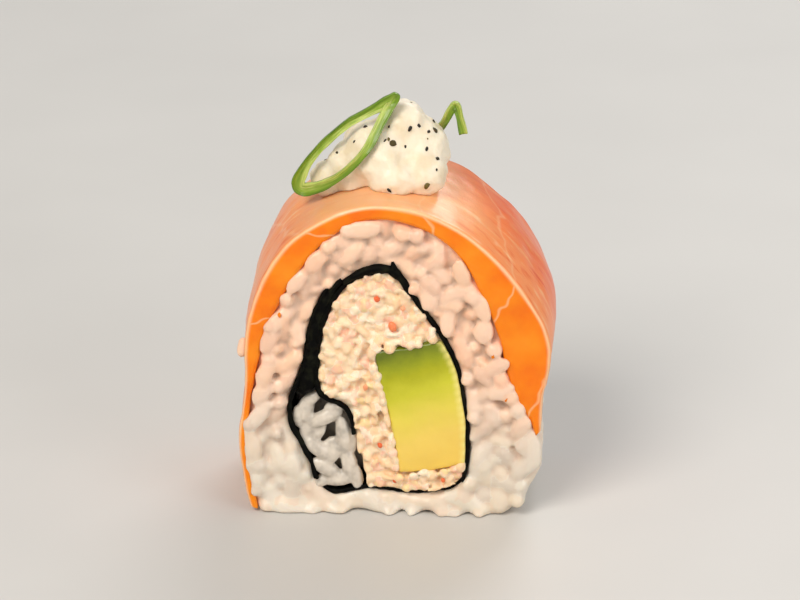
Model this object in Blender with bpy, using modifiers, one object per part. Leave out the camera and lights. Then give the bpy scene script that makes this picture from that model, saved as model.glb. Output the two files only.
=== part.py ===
"""One slice of an inside-out sushi roll, standing on its flat side with a cut face to the front.

Rice on the outside, a sheet of nori wound once and a bit round crab salad and avocado, a draped
slice of salmon, and a spoonful of cream cheese with two curls of scallion on top.

X runs to the right across the cut face, Y runs from the front face to the back one, Z is up.
The origin is on the base, under the middle of the slice.
"""

import math
import random
from collections import namedtuple

import bmesh
import bpy
import numpy as np
from mathutils import Matrix, Vector

MM = 0.001

# Depths, each measured from the middle of the slice to a cut face.
RICE_HALF_DEPTH = 10.9 * MM
TRAPPED_HALF_DEPTH = 10.6 * MM
NORI_HALF_DEPTH = 11.5 * MM
CRAB_HALF_DEPTH = 10.8 * MM
AVOCADO_HALF_DEPTH = 11.6 * MM
SALMON_HALF_DEPTH = 11.7 * MM
AHEAD = Vector((0.0, -1.0, 0.0))  # from the slice to a place well in front of it

# Neighbouring solids stand this far apart.
GAP = 0.3 * MM
MERGE = 0.001 * MM
EDGE_ANGLE = math.radians(45)  # what bends by more is an edge

# The rice's outer edge on the cut face, in millimetres across and up, with the
# salmon's thickness over it. It runs from the foot of the left side over the top
# to the foot of the right side, and the base closes it.
ROLL_EDGE = [
    (-19.6, 0.0, 1.0),
    (-20.5, 4.2, 1.0),
    (-21.3, 10.8, 1.1),
    (-20.9, 15.4, 1.2),
    (-20.1, 20.5, 1.5),
    (-18.8, 27.0, 2.6),
    (-17.2, 32.0, 3.3),
    (-14.8, 36.7, 3.8),
    (-11.9, 41.0, 3.8),
    (-9.0, 44.0, 3.1),
    (-5.6, 46.3, 2.5),
    (-1.7, 47.2, 2.2),
    (3.5, 46.2, 2.4),
    (8.2, 43.0, 3.3),
    (11.4, 38.6, 4.6),
    (13.8, 33.5, 6.0),
    (15.4, 28.8, 7.1),
    (16.4, 24.2, 6.8),
    (18.0, 19.6, 4.8),
    (20.4, 15.2, 1.6),
    (21.5, 10.4, 0.0),
    (20.7, 6.0, 0.0),
    (18.8, 2.4, 0.0),
    (16.2, 0.0, 0.0),
]
EDGE_STEPS = 2
FLANK_START = 20  # where the roll's bare lower right side begins, counted in these points

# The nori's route on the cut face and its thickness, from its inner end round the filling
# and over itself. Damp nori swells, and it is thickest where it is folded over at the left.
NORI_ROUTE = [
    (-5.7, 12.9, 0.5),
    (-6.1, 15.4, 0.5),
    (-7.3, 17.4, 0.5),
    (-9.3, 18.3, 0.5),
    (-10.9, 20.0, 0.7),
    (-11.3, 23.5, 0.9),
    (-11.0, 27.4, 0.9),
    (-10.0, 31.6, 0.8),
    (-8.0, 35.6, 0.6),
    (-5.2, 38.1, 0.6),
    (-1.8, 39.2, 0.7),
    (0.3, 39.0, 0.7),
    (2.0, 36.8, 0.5),
    (4.7, 32.9, 0.5),
    (7.5, 28.7, 0.5),
    (9.6, 24.1, 0.5),
    (10.5, 19.2, 0.5),
    (11.1, 14.6, 0.5),
    (11.1, 9.2, 0.5),
    (10.2, 5.3, 0.5),
    (7.1, 3.8, 0.5),
    (3.5, 3.4, 0.5),
    (-0.4, 3.6, 0.5),
    (-3.5, 4.0, 0.5),
    (-6.2, 3.4, 0.5),
    (-8.9, 3.0, 0.5),
    (-11.0, 4.7, 0.5),
    (-12.0, 7.9, 0.5),
    (-13.4, 11.1, 0.5),
    (-15.0, 14.2, 0.5),
    (-15.2, 17.7, 0.5),
    (-14.1, 20.9, 0.6),
    (-12.8, 24.3, 0.8),
    (-12.3, 28.0, 0.8),
    (-11.3, 32.2, 0.7),
    (-9.4, 36.4, 0.5),
]
NORI_STEPS = 2
# Places along the route, counted in its points.
NORI_TUCK_END = 4  # where the tucked edge leaves the trapped rice
NORI_LAP_TOP = 8  # under the free outer end
NORI_LAP_START = 23  # where the outer lap begins, below the inner end
NORI_LAP_SHUT = 31  # where the two laps close above the trapped rice

# The avocado stick on the cut face, anticlockwise from its lower left corner. On the right
# it runs past the nori, which trims it.
AVOCADO_EDGE = [
    (1.1, 7.0),
    (5.6, 7.2),
    (14.0, 9.6),
    (14.0, 28.6),
    (6.2, 28.4),
    (2.2, 27.3),
    (-2.8, 26.5),
    (-1.6, 20.4),
    (0.2, 13.0),
]
AVOCADO_BEVEL = 0.35 * MM

# What lies on a cut face: the least and most length, width and height proud of the core
# that a piece has, and how far apart their middles are.
Strewing = namedtuple("Strewing", "length width proud spacing")
GRAINS = Strewing((5.0 * MM, 6.6 * MM), (2.7 * MM, 3.2 * MM), (0.45 * MM, 1.0 * MM), 3.0 * MM)
TRAPPED_GRAINS = Strewing((4.4 * MM, 6.0 * MM), (2.1 * MM, 2.7 * MM), (0.5 * MM, 1.1 * MM), 2.4 * MM)
FLAKES = Strewing((3.0 * MM, 5.4 * MM), (1.7 * MM, 2.5 * MM), (0.45 * MM, 0.95 * MM), 2.75 * MM)
GRAIN_SEGMENTS = 6
GRAIN_RINGS = 4
DARTS = 9000  # places tried on each face
LIES = 8  # directions tried at each place
SEED = 7

# Grains on the bare lower right side, in rows up it and columns from front to back.
FLANK_ROWS = 5
FLANK_COLUMNS = 4
FLANK_SINK = 0.6 * MM  # how far the middle of a grain lies inside the side
FLANK_SWING = math.radians(30)  # the most that a grain lies out of line with Y
FLANK_SHIFT = 0.18  # the most that it is out of place, as a share of a column
BASE_CLEARANCE = 0.15 * MM

# The salmon slice.
SALMON_COLUMNS = 38
SALMON_ROWS = 6
SALMON_STEPS = 8
SALMON_FOOT = 0.5 * MM  # its left end stops this far above the base
SALMON_END_POINT = 19.35  # where the front edge ends, counted in the roll edge's points
SALMON_SLANT = 0.85  # how much earlier it ends at the back, in the same count
SALMON_FULLNESS = 0.14  # the middle of the slice is thicker than its cut edges by this share
SALMON_BEVEL = 0.45 * MM

# The spoonful of cream cheese: lumps of (across, back, up, radius), in millimetres.
CHEESE_LUMPS = [
    (2.9, 0.2, 54.2, 5.1),
    (0.9, 0.2, 57.4, 4.2),
    (-2.2, -1.0, 53.6, 5.2),
    (-5.8, -0.4, 51.2, 4.4),
    (-9.2, 0.2, 49.2, 3.4),
    (-3.6, 3.2, 52.2, 4.8),
    (3.0, 3.4, 51.4, 4.2),
    (4.0, -2.4, 51.4, 3.8),
    (-0.2, -3.6, 50.8, 3.8),
]
CHEESE_VOXEL = 1.2 * MM
CHEESE_SMOOTHING = 3
CHEESE_RIPPLE = 0.5 * MM
CHEESE_RIPPLE_SIZE = 5.0 * MM
# Cracked pepper on the cheese: where it shows at the front, across and up, and how many
# pieces are strewn over the rest.
PEPPER_AT_FRONT = [(-0.2, 56.6), (2.2, 58.6), (5.8, 57.6), (4.8, 50.9), (-0.6, 50.4)]
PEPPER_STREWN = 11
PEPPER_SIZE = (0.8 * MM, 1.4 * MM)
PEPPER_LOWEST = 51.5 * MM  # clear of the salmon

# Scallion: strips cut across a hollow green leaf.
SCALLION_FREE_DEPTH = 1.0 * MM  # how far out a strip stands where nothing is behind it
SCALLION_EASING = 3
RING_CENTRE = Vector((-7.1, 0.0, 55.9)) * MM
RING_LONG = Vector((6.9, 0.0, 7.1)) * MM  # from its centre to the middle of its upper end
RING_HALF_WIDTH = 2.2 * MM
RING_TAPER = (0.75, 0.25, 0.25)  # its ends are pointed, the upper one more than the lower
RING_WALL = 0.6 * MM  # half the strip's width, seen from the front
RING_END_WALL = 0.9 * MM  # the same along the ring, where the strip turns back
RING_DEPTH = 0.5 * MM  # half the strip's depth
RING_POINTS = 32
# The strip's section, as shares of half its width and half its depth.
RING_SECTION = [(-1, -0.5), (-0.5, -1), (0.5, -1), (1, -0.5), (1, 0.5), (0.5, 1), (-0.5, 1), (-1, 0.5)]
CURL_WALL = 0.35 * MM  # half the leaf's thickness
CURL_WIDTH = 0.45 * MM  # half of what the cut adds to it
CURL_ROUTE = [
    (3.6, 51.2),
    (5.0, 53.4),
    (6.6, 56.2),
    (7.8, 59.0),
    (8.6, 60.0),
    (9.2, 58.4),
    (9.8, 55.6),
]


def clear_scene():
    for obj in list(bpy.data.objects):
        bpy.data.objects.remove(obj)


def new_collection(name):
    made = bpy.data.collections.new(name)
    bpy.context.scene.collection.children.link(made)
    return made


def material(name, colour, roughness):
    made = bpy.data.materials.new(name)
    made.use_nodes = True
    shader = made.node_tree.nodes["Principled BSDF"]
    shader.inputs["Base Color"].default_value = (*colour, 1.0)
    shader.inputs["Roughness"].default_value = roughness
    shader.inputs["Metallic"].default_value = 0.0
    made.diffuse_color = (*colour, 1.0)
    return made


def smooth_path(points, steps):
    """Points along a Catmull-Rom curve through the given ones, `steps` to each span."""
    knots = np.array(points, float)
    ends = (2 * knots[0] - knots[1], 2 * knots[-1] - knots[-2])
    knots = np.vstack([ends[0], knots, ends[1]])
    path = []
    for before, start, end, after in zip(knots, knots[1:], knots[2:], knots[3:]):
        for t in np.arange(steps) / steps:
            bend = (2 * before - 5 * start + 4 * end - after) * t**2
            twist = (3 * start - before - 3 * end + after) * t**3
            path.append(start + ((end - before) * t + bend + twist) / 2)
    path.append(knots[-2])
    return np.array(path)


def beside(path, distance):
    """The open path moved to its right by this distance, seen with X right and Z up."""
    along = np.gradient(path, axis=0)
    along /= np.linalg.norm(along, axis=1)[:, None]
    right = np.column_stack([along[:, 1], -along[:, 0]])
    return path + right * distance


def inside(outline, point):
    """Whether a point lies in the closed outline."""
    x, z = point
    a = outline
    b = np.roll(outline, -1, axis=0)
    crosses = (a[:, 1] > z) != (b[:, 1] > z)
    a, b = a[crosses], b[crosses]
    at = a[:, 0] + (z - a[:, 1]) * (b[:, 0] - a[:, 0]) / (b[:, 1] - a[:, 1])
    return bool((at > x).sum() % 2)


def clearance(outline, point):
    """The distance from a point to the nearest side of the closed outline."""
    a = outline
    along = np.roll(outline, -1, axis=0) - a
    share = ((point - a) * along).sum(1) / (along**2).sum(1)
    nearest = a + along * np.clip(share, 0, 1)[:, None]
    return float(np.linalg.norm(nearest - point, axis=1).min())


class Region:
    """A part of the cut face: inside one outline, and outside another if there is one."""

    def __init__(self, outline, hole=None):
        self.outline = outline
        self.hole = hole

    def holds(self, point, margin):
        point = np.array(point)
        if not inside(self.outline, point) or clearance(self.outline, point) < margin:
            return False
        if self.hole is None:
            return True
        return not inside(self.hole, point) and clearance(self.hole, point) >= margin


def roll_outline():
    edge = smooth_path([(x, z) for x, z, _ in ROLL_EDGE], EDGE_STEPS)
    return np.maximum(edge, [-np.inf, 0.0]) * MM


def nori_sides(first, last):
    """The inner and outer limits of a stretch of nori, a gap away from it."""
    path = smooth_path(NORI_ROUTE, NORI_STEPS)[first:last] * MM
    reach = path[:, 2:] / 2 + GAP
    return beside(path[:, :2], reach), beside(path[:, :2], -reach)


def filling_outline():
    """What the nori wraps: crab salad and avocado."""
    return nori_sides(0, NORI_LAP_START * NORI_STEPS + 1)[0]


def hole_outline():
    """The hole in the outer rice, round the nori's outer lap."""
    return nori_sides(NORI_LAP_TOP * NORI_STEPS, None)[1]


def trapped_outline():
    """The rice caught between the nori's tucked edge and its outer lap."""
    lap = nori_sides(NORI_LAP_START * NORI_STEPS + 1, NORI_LAP_SHUT * NORI_STEPS)[0]
    tuck = nori_sides(0, NORI_TUCK_END * NORI_STEPS)[1]
    return np.vstack([lap, tuck[::-1]])


def mesh_object(name, form, collection):
    """A bmesh made an object, and freed."""
    mesh = bpy.data.meshes.new(name)
    form.to_mesh(mesh)
    form.free()
    obj = bpy.data.objects.new(name, mesh)
    collection.objects.link(obj)
    return obj


def thickened(obj, thickest, weights):
    """Gives an open sheet its thickness, with a share of it for each vertex."""
    group = obj.vertex_groups.new(name="thickness")
    for index, weight in enumerate(weights):
        group.add([index], weight, "REPLACE")
    wall = obj.modifiers.new("Thickness", "SOLIDIFY")
    wall.thickness = thickest
    wall.vertex_group = group.name
    return wall


def baked(obj, parts):
    """The object as its modifiers leave it, as a mesh object of the same name."""
    graph = bpy.context.evaluated_depsgraph_get()
    mesh = bpy.data.meshes.new_from_object(obj.evaluated_get(graph))
    mesh.transform(obj.matrix_world)
    form = bmesh.new()
    form.from_mesh(mesh)
    bmesh.ops.remove_doubles(form, verts=form.verts, dist=MERGE)
    form.to_mesh(mesh)
    form.free()
    name = obj.name
    bpy.data.objects.remove(obj)
    made = bpy.data.objects.new(name, mesh)
    parts.objects.link(made)
    return made


def slab(name, outline, half_depth, parts):
    """A flat outline on the cut face, given depth along Y."""
    curve = bpy.data.curves.new(name, "CURVE")
    curve.dimensions = "2D"
    curve.fill_mode = "BOTH"
    curve.extrude = half_depth
    spline = curve.splines.new("POLY")
    spline.points.add(len(outline) - 1)
    for point, (x, z) in zip(spline.points, outline):
        point.co = (x, z, 0.0, 1.0)
    spline.use_cyclic_u = True
    obj = bpy.data.objects.new(name, curve)
    obj.rotation_euler = (math.pi / 2, 0.0, 0.0)
    parts.objects.link(obj)
    bpy.context.view_layer.update()
    return baked(obj, parts)


def boolean(obj, operation, other):
    """Cuts an object by another, or joins it with all those of a collection."""
    modifier = obj.modifiers.new(operation.title(), "BOOLEAN")
    modifier.operation = operation
    modifier.solver = "EXACT"
    if isinstance(other, bpy.types.Collection):
        modifier.operand_type = "COLLECTION"
        modifier.collection = other
    else:
        modifier.object = other
    return modifier


def soften_edges(obj, width):
    bevel = obj.modifiers.new("Soft edges", "BEVEL")
    bevel.width = width
    bevel.segments = 2
    bevel.limit_method = "ANGLE"
    bevel.angle_limit = EDGE_ANGLE


def grain_mesh(name):
    """A unit grain: a low sphere, long along its X once it is scaled."""
    mesh = bpy.data.meshes.new(name)
    form = bmesh.new()
    bmesh.ops.create_uvsphere(
        form,
        u_segments=GRAIN_SEGMENTS,
        v_segments=GRAIN_RINGS,
        radius=0.5,
        matrix=Matrix.Rotation(math.pi / 2, 4, "Y"),
    )
    form.to_mesh(mesh)
    form.free()
    return mesh


def place_grain(mesh, pieces, at, direction, roll, size):
    """Adds a grain lying along a direction, with its size as length, width and thickness."""
    obj = bpy.data.objects.new("piece", mesh)
    turn = Vector(direction).to_track_quat("X", "Z") @ Matrix.Rotation(roll, 3, "X").to_quaternion()
    obj.matrix_world = Matrix.LocRotScale(Vector(at), turn, Vector(size))
    pieces.objects.link(obj)


def face_places(region, spacing, margin, draw):
    """Evenly scattered places in a region, by throwing darts that keep their distance."""
    low = region.outline.min(0)
    high = region.outline.max(0)
    kept = []
    for _ in range(DARTS):
        point = np.array([draw.uniform(low[0], high[0]), draw.uniform(low[1], high[1])])
        if all(np.linalg.norm(point - other) >= spacing for other in kept):
            if region.holds(point, margin):
                kept.append(point)
    return kept


def lie_of(region, point, length, width, draw):
    """A direction on the face in which a piece of this size stays in the region, or None."""
    reach = (length - width) / 2
    start = draw.uniform(0, math.pi)
    for turn in range(LIES):
        angle = start + turn * math.pi / LIES
        way = np.array([math.cos(angle), math.sin(angle)])
        ends = [point + way * reach * share for share in (-1, -0.5, 0.5, 1)]
        if all(region.holds(end, width / 2) for end in ends):
            return way
    return None


def strew_face(pieces, mesh, region, side, half_depth, kind, draw):
    """Lays pieces on one cut face, each sunk in it so that only its crown stands proud."""
    for point in face_places(region, kind.spacing, kind.width[0] / 2, draw):
        wide = draw.uniform(*kind.width)
        long = draw.uniform(*kind.length)
        way = lie_of(region, point, long, wide, draw)
        if way is None:
            # There is only room for a piece seen end on.
            wide = kind.width[0]
            long = wide
            way = np.array([1.0, 0.0])
        y = side * (half_depth + draw.uniform(*kind.proud) - wide / 2)
        at = (point[0], y, point[1])
        roll = draw.uniform(0, math.pi)
        place_grain(mesh, pieces, at, (way[0], 0.0, way[1]), roll, (long, wide, wide))


def strew_flank(pieces, mesh, draw):
    """Grains in the bare lower right side, below the salmon."""
    bare = roll_outline()[FLANK_START * EDGE_STEPS :]
    along = np.gradient(bare, axis=0)
    along /= np.linalg.norm(along, axis=1)[:, None]
    inner = beside(bare, FLANK_SINK)
    rows = np.linspace(0, len(bare) - 1, FLANK_ROWS + 1)[:-1].astype(int)
    for row in rows:
        for column in range(FLANK_COLUMNS):
            wide = draw.uniform(*GRAINS.width)
            long = draw.uniform(*GRAINS.length)
            share = (column + 0.5 + draw.uniform(-FLANK_SHIFT, FLANK_SHIFT)) / FLANK_COLUMNS
            y = (share - 0.5) * (2 * RICE_HALF_DEPTH - long / 2)
            swing = draw.uniform(-FLANK_SWING, FLANK_SWING)
            way = (along[row, 0] * math.sin(swing), math.cos(swing), along[row, 1] * math.sin(swing))
            low = (wide + abs(way[2]) * (long - wide)) / 2 + BASE_CLEARANCE
            at = (inner[row, 0], y, max(inner[row, 1], low))
            place_grain(mesh, pieces, at, way, draw.uniform(0, math.pi), (long, wide, wide))


def fuse(core, pieces, parts):
    """Joins the pieces to their core as one solid, and removes what is used up."""
    boolean(core, "UNION", pieces)
    made = baked(core, parts)
    for obj in list(pieces.objects):
        bpy.data.objects.remove(obj)
    bpy.data.collections.remove(pieces)
    return made


def build_outer_rice(parts, mesh, draw):
    outline = roll_outline()
    core = slab("outer_rice", outline, RICE_HALF_DEPTH, parts)
    hole = slab("hole", hole_outline(), 2 * RICE_HALF_DEPTH, parts)
    boolean(core, "DIFFERENCE", hole)
    core = baked(core, parts)
    bpy.data.objects.remove(hole)
    pieces = new_collection("outer grains")
    region = Region(outline, hole_outline())
    for side in (-1, 1):
        strew_face(pieces, mesh, region, side, RICE_HALF_DEPTH, GRAINS, draw)
    strew_flank(pieces, mesh, draw)
    return fuse(core, pieces, parts)


def build_trapped_rice(parts, mesh, draw):
    region = Region(trapped_outline())
    core = slab("trapped_rice", region.outline, TRAPPED_HALF_DEPTH, parts)
    pieces = new_collection("trapped grains")
    for side in (-1, 1):
        strew_face(pieces, mesh, region, side, TRAPPED_HALF_DEPTH, TRAPPED_GRAINS, draw)
    return fuse(core, pieces, parts)


def build_nori(parts):
    """The sheet on edge: its route swept along Y, then given its thickness."""
    path = smooth_path(NORI_ROUTE, NORI_STEPS) * MM
    thickest = path[:, 2].max()
    form = bmesh.new()
    front = [form.verts.new((x, -NORI_HALF_DEPTH, z)) for x, z, _ in path]
    edges = [form.edges.new(pair) for pair in zip(front, front[1:])]
    swept = bmesh.ops.extrude_edge_only(form, edges=edges)
    moved = [vert for vert in swept["geom"] if isinstance(vert, bmesh.types.BMVert)]
    bmesh.ops.translate(form, verts=moved, vec=(0.0, 2 * NORI_HALF_DEPTH, 0.0))
    obj = mesh_object("nori", form, parts)
    wall = thickened(obj, thickest, np.tile(path[:, 2] / thickest, 2))
    wall.offset = 0.0
    return obj


def build_avocado(parts):
    obj = slab("avocado", np.array(AVOCADO_EDGE) * MM, AVOCADO_HALF_DEPTH, parts)
    wrap = slab("wrap", filling_outline(), 2 * AVOCADO_HALF_DEPTH, parts)
    boolean(obj, "INTERSECT", wrap)
    obj = baked(obj, parts)
    bpy.data.objects.remove(wrap)
    soften_edges(obj, AVOCADO_BEVEL)
    return obj


def avocado_room():
    """The avocado's untrimmed outline, grown by the gap."""
    outline = np.array(AVOCADO_EDGE) * MM
    closed = np.vstack([outline[-1:], outline, outline[:1]])
    return beside(closed, GAP)[1:-1]


def build_crab_salad(parts, mesh, draw):
    region = Region(filling_outline(), avocado_room())
    core = slab("crab_salad", region.outline, CRAB_HALF_DEPTH, parts)
    room = slab("room", region.hole, 2 * CRAB_HALF_DEPTH, parts)
    boolean(core, "DIFFERENCE", room)
    core = baked(core, parts)
    bpy.data.objects.remove(room)
    pieces = new_collection("flakes")
    for side in (-1, 1):
        strew_face(pieces, mesh, region, side, CRAB_HALF_DEPTH, FLAKES, draw)
    return fuse(core, pieces, parts)


def salmon_sheet(name, parts):
    """The slice on the roll: an open sheet, thickened outwards by weights."""
    path = smooth_path(ROLL_EDGE, SALMON_STEPS) * MM
    bed = beside(path[:, :2], -GAP)
    thickest = path[:, 2].max() * (1 + SALMON_FULLNESS)
    counts = np.arange(len(path))
    first = int(np.argmax(bed[:, 1] > SALMON_FOOT))
    form = bmesh.new()
    bmesh.ops.create_grid(form, x_segments=SALMON_COLUMNS, y_segments=SALMON_ROWS, size=0.5)
    weights = []
    for vert in form.verts:
        along = vert.co.x + 0.5
        back = vert.co.y + 0.5
        last = (SALMON_END_POINT - SALMON_SLANT * back) * SALMON_STEPS
        at = first + (last - first) * along
        x, z, thickness = (np.interp(at, counts, values) for values in (*bed.T, path[:, 2]))
        fuller = 1 + SALMON_FULLNESS * math.sin(math.pi * back)
        weights.append(thickness * fuller / thickest)
        vert.co = Vector((x, (2 * back - 1) * SALMON_HALF_DEPTH, z))
    obj = mesh_object(name, form, parts)
    flesh = thickened(obj, thickest, weights)
    flesh.offset = 1.0
    return obj


def build_salmon(parts):
    obj = salmon_sheet("salmon", parts)
    soften_edges(obj, SALMON_BEVEL)
    return obj


def cheese_body(parts):
    """The lumps blended into one soft spoonful."""
    pieces = new_collection("lumps")
    for x, y, z, radius in CHEESE_LUMPS:
        form = bmesh.new()
        at = Matrix.Translation(Vector((x, y, z)) * MM)
        bmesh.ops.create_icosphere(form, subdivisions=3, radius=radius * MM, matrix=at)
        lump = mesh_object("lump", form, pieces)
    pieces.objects.unlink(lump)
    parts.objects.link(lump)
    lump.name = "cream_cheese"
    body = fuse(lump, pieces, parts)
    blend = body.modifiers.new("Blend", "REMESH")
    blend.mode = "VOXEL"
    blend.voxel_size = CHEESE_VOXEL
    soften = body.modifiers.new("Soften", "SMOOTH")
    soften.factor = 0.5
    soften.iterations = CHEESE_SMOOTHING
    ripple = body.modifiers.new("Ripple", "DISPLACE")
    clouds = bpy.data.textures.new("ripple", "CLOUDS")
    clouds.noise_scale = CHEESE_RIPPLE_SIZE
    ripple.texture = clouds
    ripple.texture_coords = "GLOBAL"
    ripple.strength = 2 * CHEESE_RIPPLE
    return baked(body, parts)


def pepper_places(body, draw):
    """Places on the cheese, each with its outward direction."""
    places = []
    for x, z in PEPPER_AT_FRONT:
        hit, place, out, _ = body.ray_cast(AHEAD + Vector((x, 0.0, z)) * MM, -AHEAD)
        if hit:
            places.append((place, out))
    open_faces = [face for face in body.data.polygons if face.center.z > PEPPER_LOWEST]
    for face in draw.sample(open_faces, PEPPER_STREWN):
        places.append((face.center.copy(), face.normal.copy()))
    return places


def build_cream_cheese(parts, mesh, draw):
    body = cheese_body(parts)
    bed = salmon_sheet("bed", parts)
    grow = bed.modifiers.new("Gap", "DISPLACE")
    grow.strength = GAP
    grow.mid_level = 0.0
    bed = baked(bed, parts)
    boolean(body, "DIFFERENCE", bed)
    body = baked(body, parts)
    bpy.data.objects.remove(bed)
    pieces = new_collection("pepper")
    for place, out in pepper_places(body, draw):
        size = [draw.uniform(*PEPPER_SIZE) for _ in range(3)]
        place_grain(mesh, pieces, place, out, draw.uniform(0, math.pi), size)
    return fuse(body, pieces, parts)


def bearing(points, bodies, side):
    """How far out each point bears on the bodies, seen from the front (-1) or behind (1)."""
    graph = bpy.context.evaluated_depsgraph_get()
    away = -side * AHEAD
    depths = []
    for point in points:
        rays = [body.ray_cast(point + away, -away, depsgraph=graph) for body in bodies]
        found = [side * place.y for hit, place, _, _ in rays if hit]
        depths.append(max(found + [SCALLION_FREE_DEPTH]))
    return np.array(depths)


def eased(depths, ends):
    """The depths evened out along a strip, and none of them less than it was.

    `ends` is how the strip goes on past its ends: "wrap" for a ring and "edge" for a free one.
    """
    even = depths
    for _ in range(SCALLION_EASING):
        around = np.pad(even, 1, mode=ends)
        even = (around[:-2] + even + around[2:]) / 3
    return even + (depths - even).max()


def ring_loop(share):
    """Points round the ring: its inner edge at -1, its middle line at 0, its outer edge at 1."""
    long = RING_LONG * (1 + share * RING_END_WALL / RING_LONG.length)
    across = Vector((RING_LONG.z, 0.0, -RING_LONG.x)).normalized() * (RING_HALF_WIDTH + share * RING_WALL)
    base, bulge, lean = RING_TAPER
    points = []
    for i in range(RING_POINTS):
        turn = 2 * math.pi * i / RING_POINTS
        wide = base + bulge * abs(math.sin(turn)) - lean * math.cos(turn)
        points.append(RING_CENTRE + long * math.cos(turn) + across * math.sin(turn) * wide)
    return points


def build_scallion_ring(parts, bodies):
    """A long slanting ring with pointed ends, leaning on the front of the cream cheese.

    It is a loft round the ring, because its strip is wider where it turns back at each end.
    """
    depths = np.max([bearing(ring_loop(share), bodies, -1) for share in (-1, 0, 1)], axis=0)
    middle = eased(depths, "wrap") + RING_DEPTH + GAP
    form = bmesh.new()
    rows = []
    for share, deep in RING_SECTION:
        loop = zip(ring_loop(share), middle)
        rows.append([form.verts.new((p.x, -out + deep * RING_DEPTH, p.z)) for p, out in loop])
    for row, above in zip(rows, rows[1:] + rows[:1]):
        for i in range(RING_POINTS):
            after = (i + 1) % RING_POINTS
            form.faces.new((row[i], row[after], above[after], above[i]))
    bmesh.ops.recalc_face_normals(form, faces=form.faces)
    return mesh_object("scallion_ring", form, parts)


def build_scallion_curl(parts, bodies):
    """A short strip folded over, leaning on the back of the cream cheese."""
    points = [Vector((x, 0.0, z)) for x, z in smooth_path(CURL_ROUTE, 3) * MM]
    out = eased(bearing(points, bodies, 1), "edge") + CURL_WALL + CURL_WIDTH + GAP
    curve = bpy.data.curves.new("scallion_curl", "CURVE")
    curve.dimensions = "3D"
    curve.fill_mode = "FULL"
    curve.extrude = CURL_WIDTH
    curve.bevel_depth = CURL_WALL
    curve.bevel_resolution = 1
    curve.use_fill_caps = True
    curve.twist_mode = "MINIMUM"
    spline = curve.splines.new("POLY")
    spline.points.add(len(points) - 1)
    for point, place, depth in zip(spline.points, points, out):
        point.co = (place.x, depth, place.z, 1.0)
    obj = bpy.data.objects.new("scallion_curl", curve)
    parts.objects.link(obj)
    return obj


def main():
    clear_scene()
    parts = new_collection("uramaki")
    draw = random.Random(SEED)
    mesh = grain_mesh("grain")
    finishes = {
        "outer_rice": material("rice", (0.90, 0.82, 0.72), 0.45),
        "trapped_rice": material("trapped rice", (0.70, 0.67, 0.60), 0.45),
        "nori": material("nori", (0.012, 0.012, 0.008), 0.55),
        "crab_salad": material("crab salad", (0.95, 0.74, 0.52), 0.5),
        "avocado": material("avocado", (0.62, 0.60, 0.06), 0.4),
        "salmon": material("salmon", (0.95, 0.30, 0.06), 0.3),
        "cream_cheese": material("cream cheese", (0.95, 0.88, 0.74), 0.5),
        "scallion_ring": material("scallion", (0.20, 0.32, 0.03), 0.4),
    }
    finishes["scallion_curl"] = finishes["scallion_ring"]
    made = [
        build_outer_rice(parts, mesh, draw),
        build_trapped_rice(parts, mesh, draw),
        build_nori(parts),
        build_crab_salad(parts, mesh, draw),
        build_avocado(parts),
    ]
    salmon = build_salmon(parts)
    cheese = build_cream_cheese(parts, mesh, draw)
    made += [
        salmon,
        cheese,
        build_scallion_ring(parts, [cheese, salmon]),
        build_scallion_curl(parts, [cheese, salmon]),
    ]
    for obj in made:
        obj.data.materials.clear()
        obj.data.materials.append(finishes[obj.name])
        if obj.type == "MESH":
            obj.data.shade_smooth()
            obj.data.set_sharp_from_angle(angle=EDGE_ANGLE)


main()
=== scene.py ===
"""The looks of one slice of an inside-out sushi roll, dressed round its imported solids.

Each operator makes one piece, or one group of like pieces, in metres in the frame's own
place: X to the right across the cut face, Y from the front face to the back one, Z up.
"""

import math
import random
from collections import namedtuple
from contextlib import contextmanager
from functools import cached_property

import bmesh
import bpy
import numpy as np
from bpy.props import FloatProperty, FloatVectorProperty, IntProperty, PointerProperty
from bpy.types import Operator, Panel, PropertyGroup
from mathutils import Matrix, Vector, noise
from mathutils.bvhtree import BVHTree
from mathutils.kdtree import KDTree


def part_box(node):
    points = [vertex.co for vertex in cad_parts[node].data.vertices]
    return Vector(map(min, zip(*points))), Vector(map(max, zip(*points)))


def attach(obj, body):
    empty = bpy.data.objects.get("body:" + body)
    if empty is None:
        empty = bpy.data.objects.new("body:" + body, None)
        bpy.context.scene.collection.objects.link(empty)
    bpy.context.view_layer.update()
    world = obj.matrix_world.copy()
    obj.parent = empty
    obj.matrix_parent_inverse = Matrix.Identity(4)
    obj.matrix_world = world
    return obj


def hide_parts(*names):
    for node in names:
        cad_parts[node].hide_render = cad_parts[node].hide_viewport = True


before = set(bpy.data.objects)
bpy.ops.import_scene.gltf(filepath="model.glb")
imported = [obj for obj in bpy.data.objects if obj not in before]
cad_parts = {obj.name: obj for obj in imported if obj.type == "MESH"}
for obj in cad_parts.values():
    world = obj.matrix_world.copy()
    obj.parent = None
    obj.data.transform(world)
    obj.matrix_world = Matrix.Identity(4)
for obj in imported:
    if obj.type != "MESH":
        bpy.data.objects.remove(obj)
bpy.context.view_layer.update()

bl_info = {
    "name": "Uramaki slice",
    "version": (1, 0, 0),
    "blender": (4, 5, 0),
    "location": "3D View > Sidebar > Uramaki",
    "description": "Dresses the solids of a salmon uramaki slice with rice, fish, salad and garnish",
    "category": "Add Mesh",
}

MM = 0.001
FRONT = -1
BACK = 1
AHEAD = Vector((0.0, -1.0, 0.0))
OUTLINE_STEPS = 4  # points to each span of a smoothed outline

# In the settings below, an inset is how far inside its solid's cut face the level lies that
# strewn pieces stand out from. Bumps shape each strewn piece and ruffles a whole mesh, by
# noise of a size and a height. A shape is a piece's segments and rings.

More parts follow.
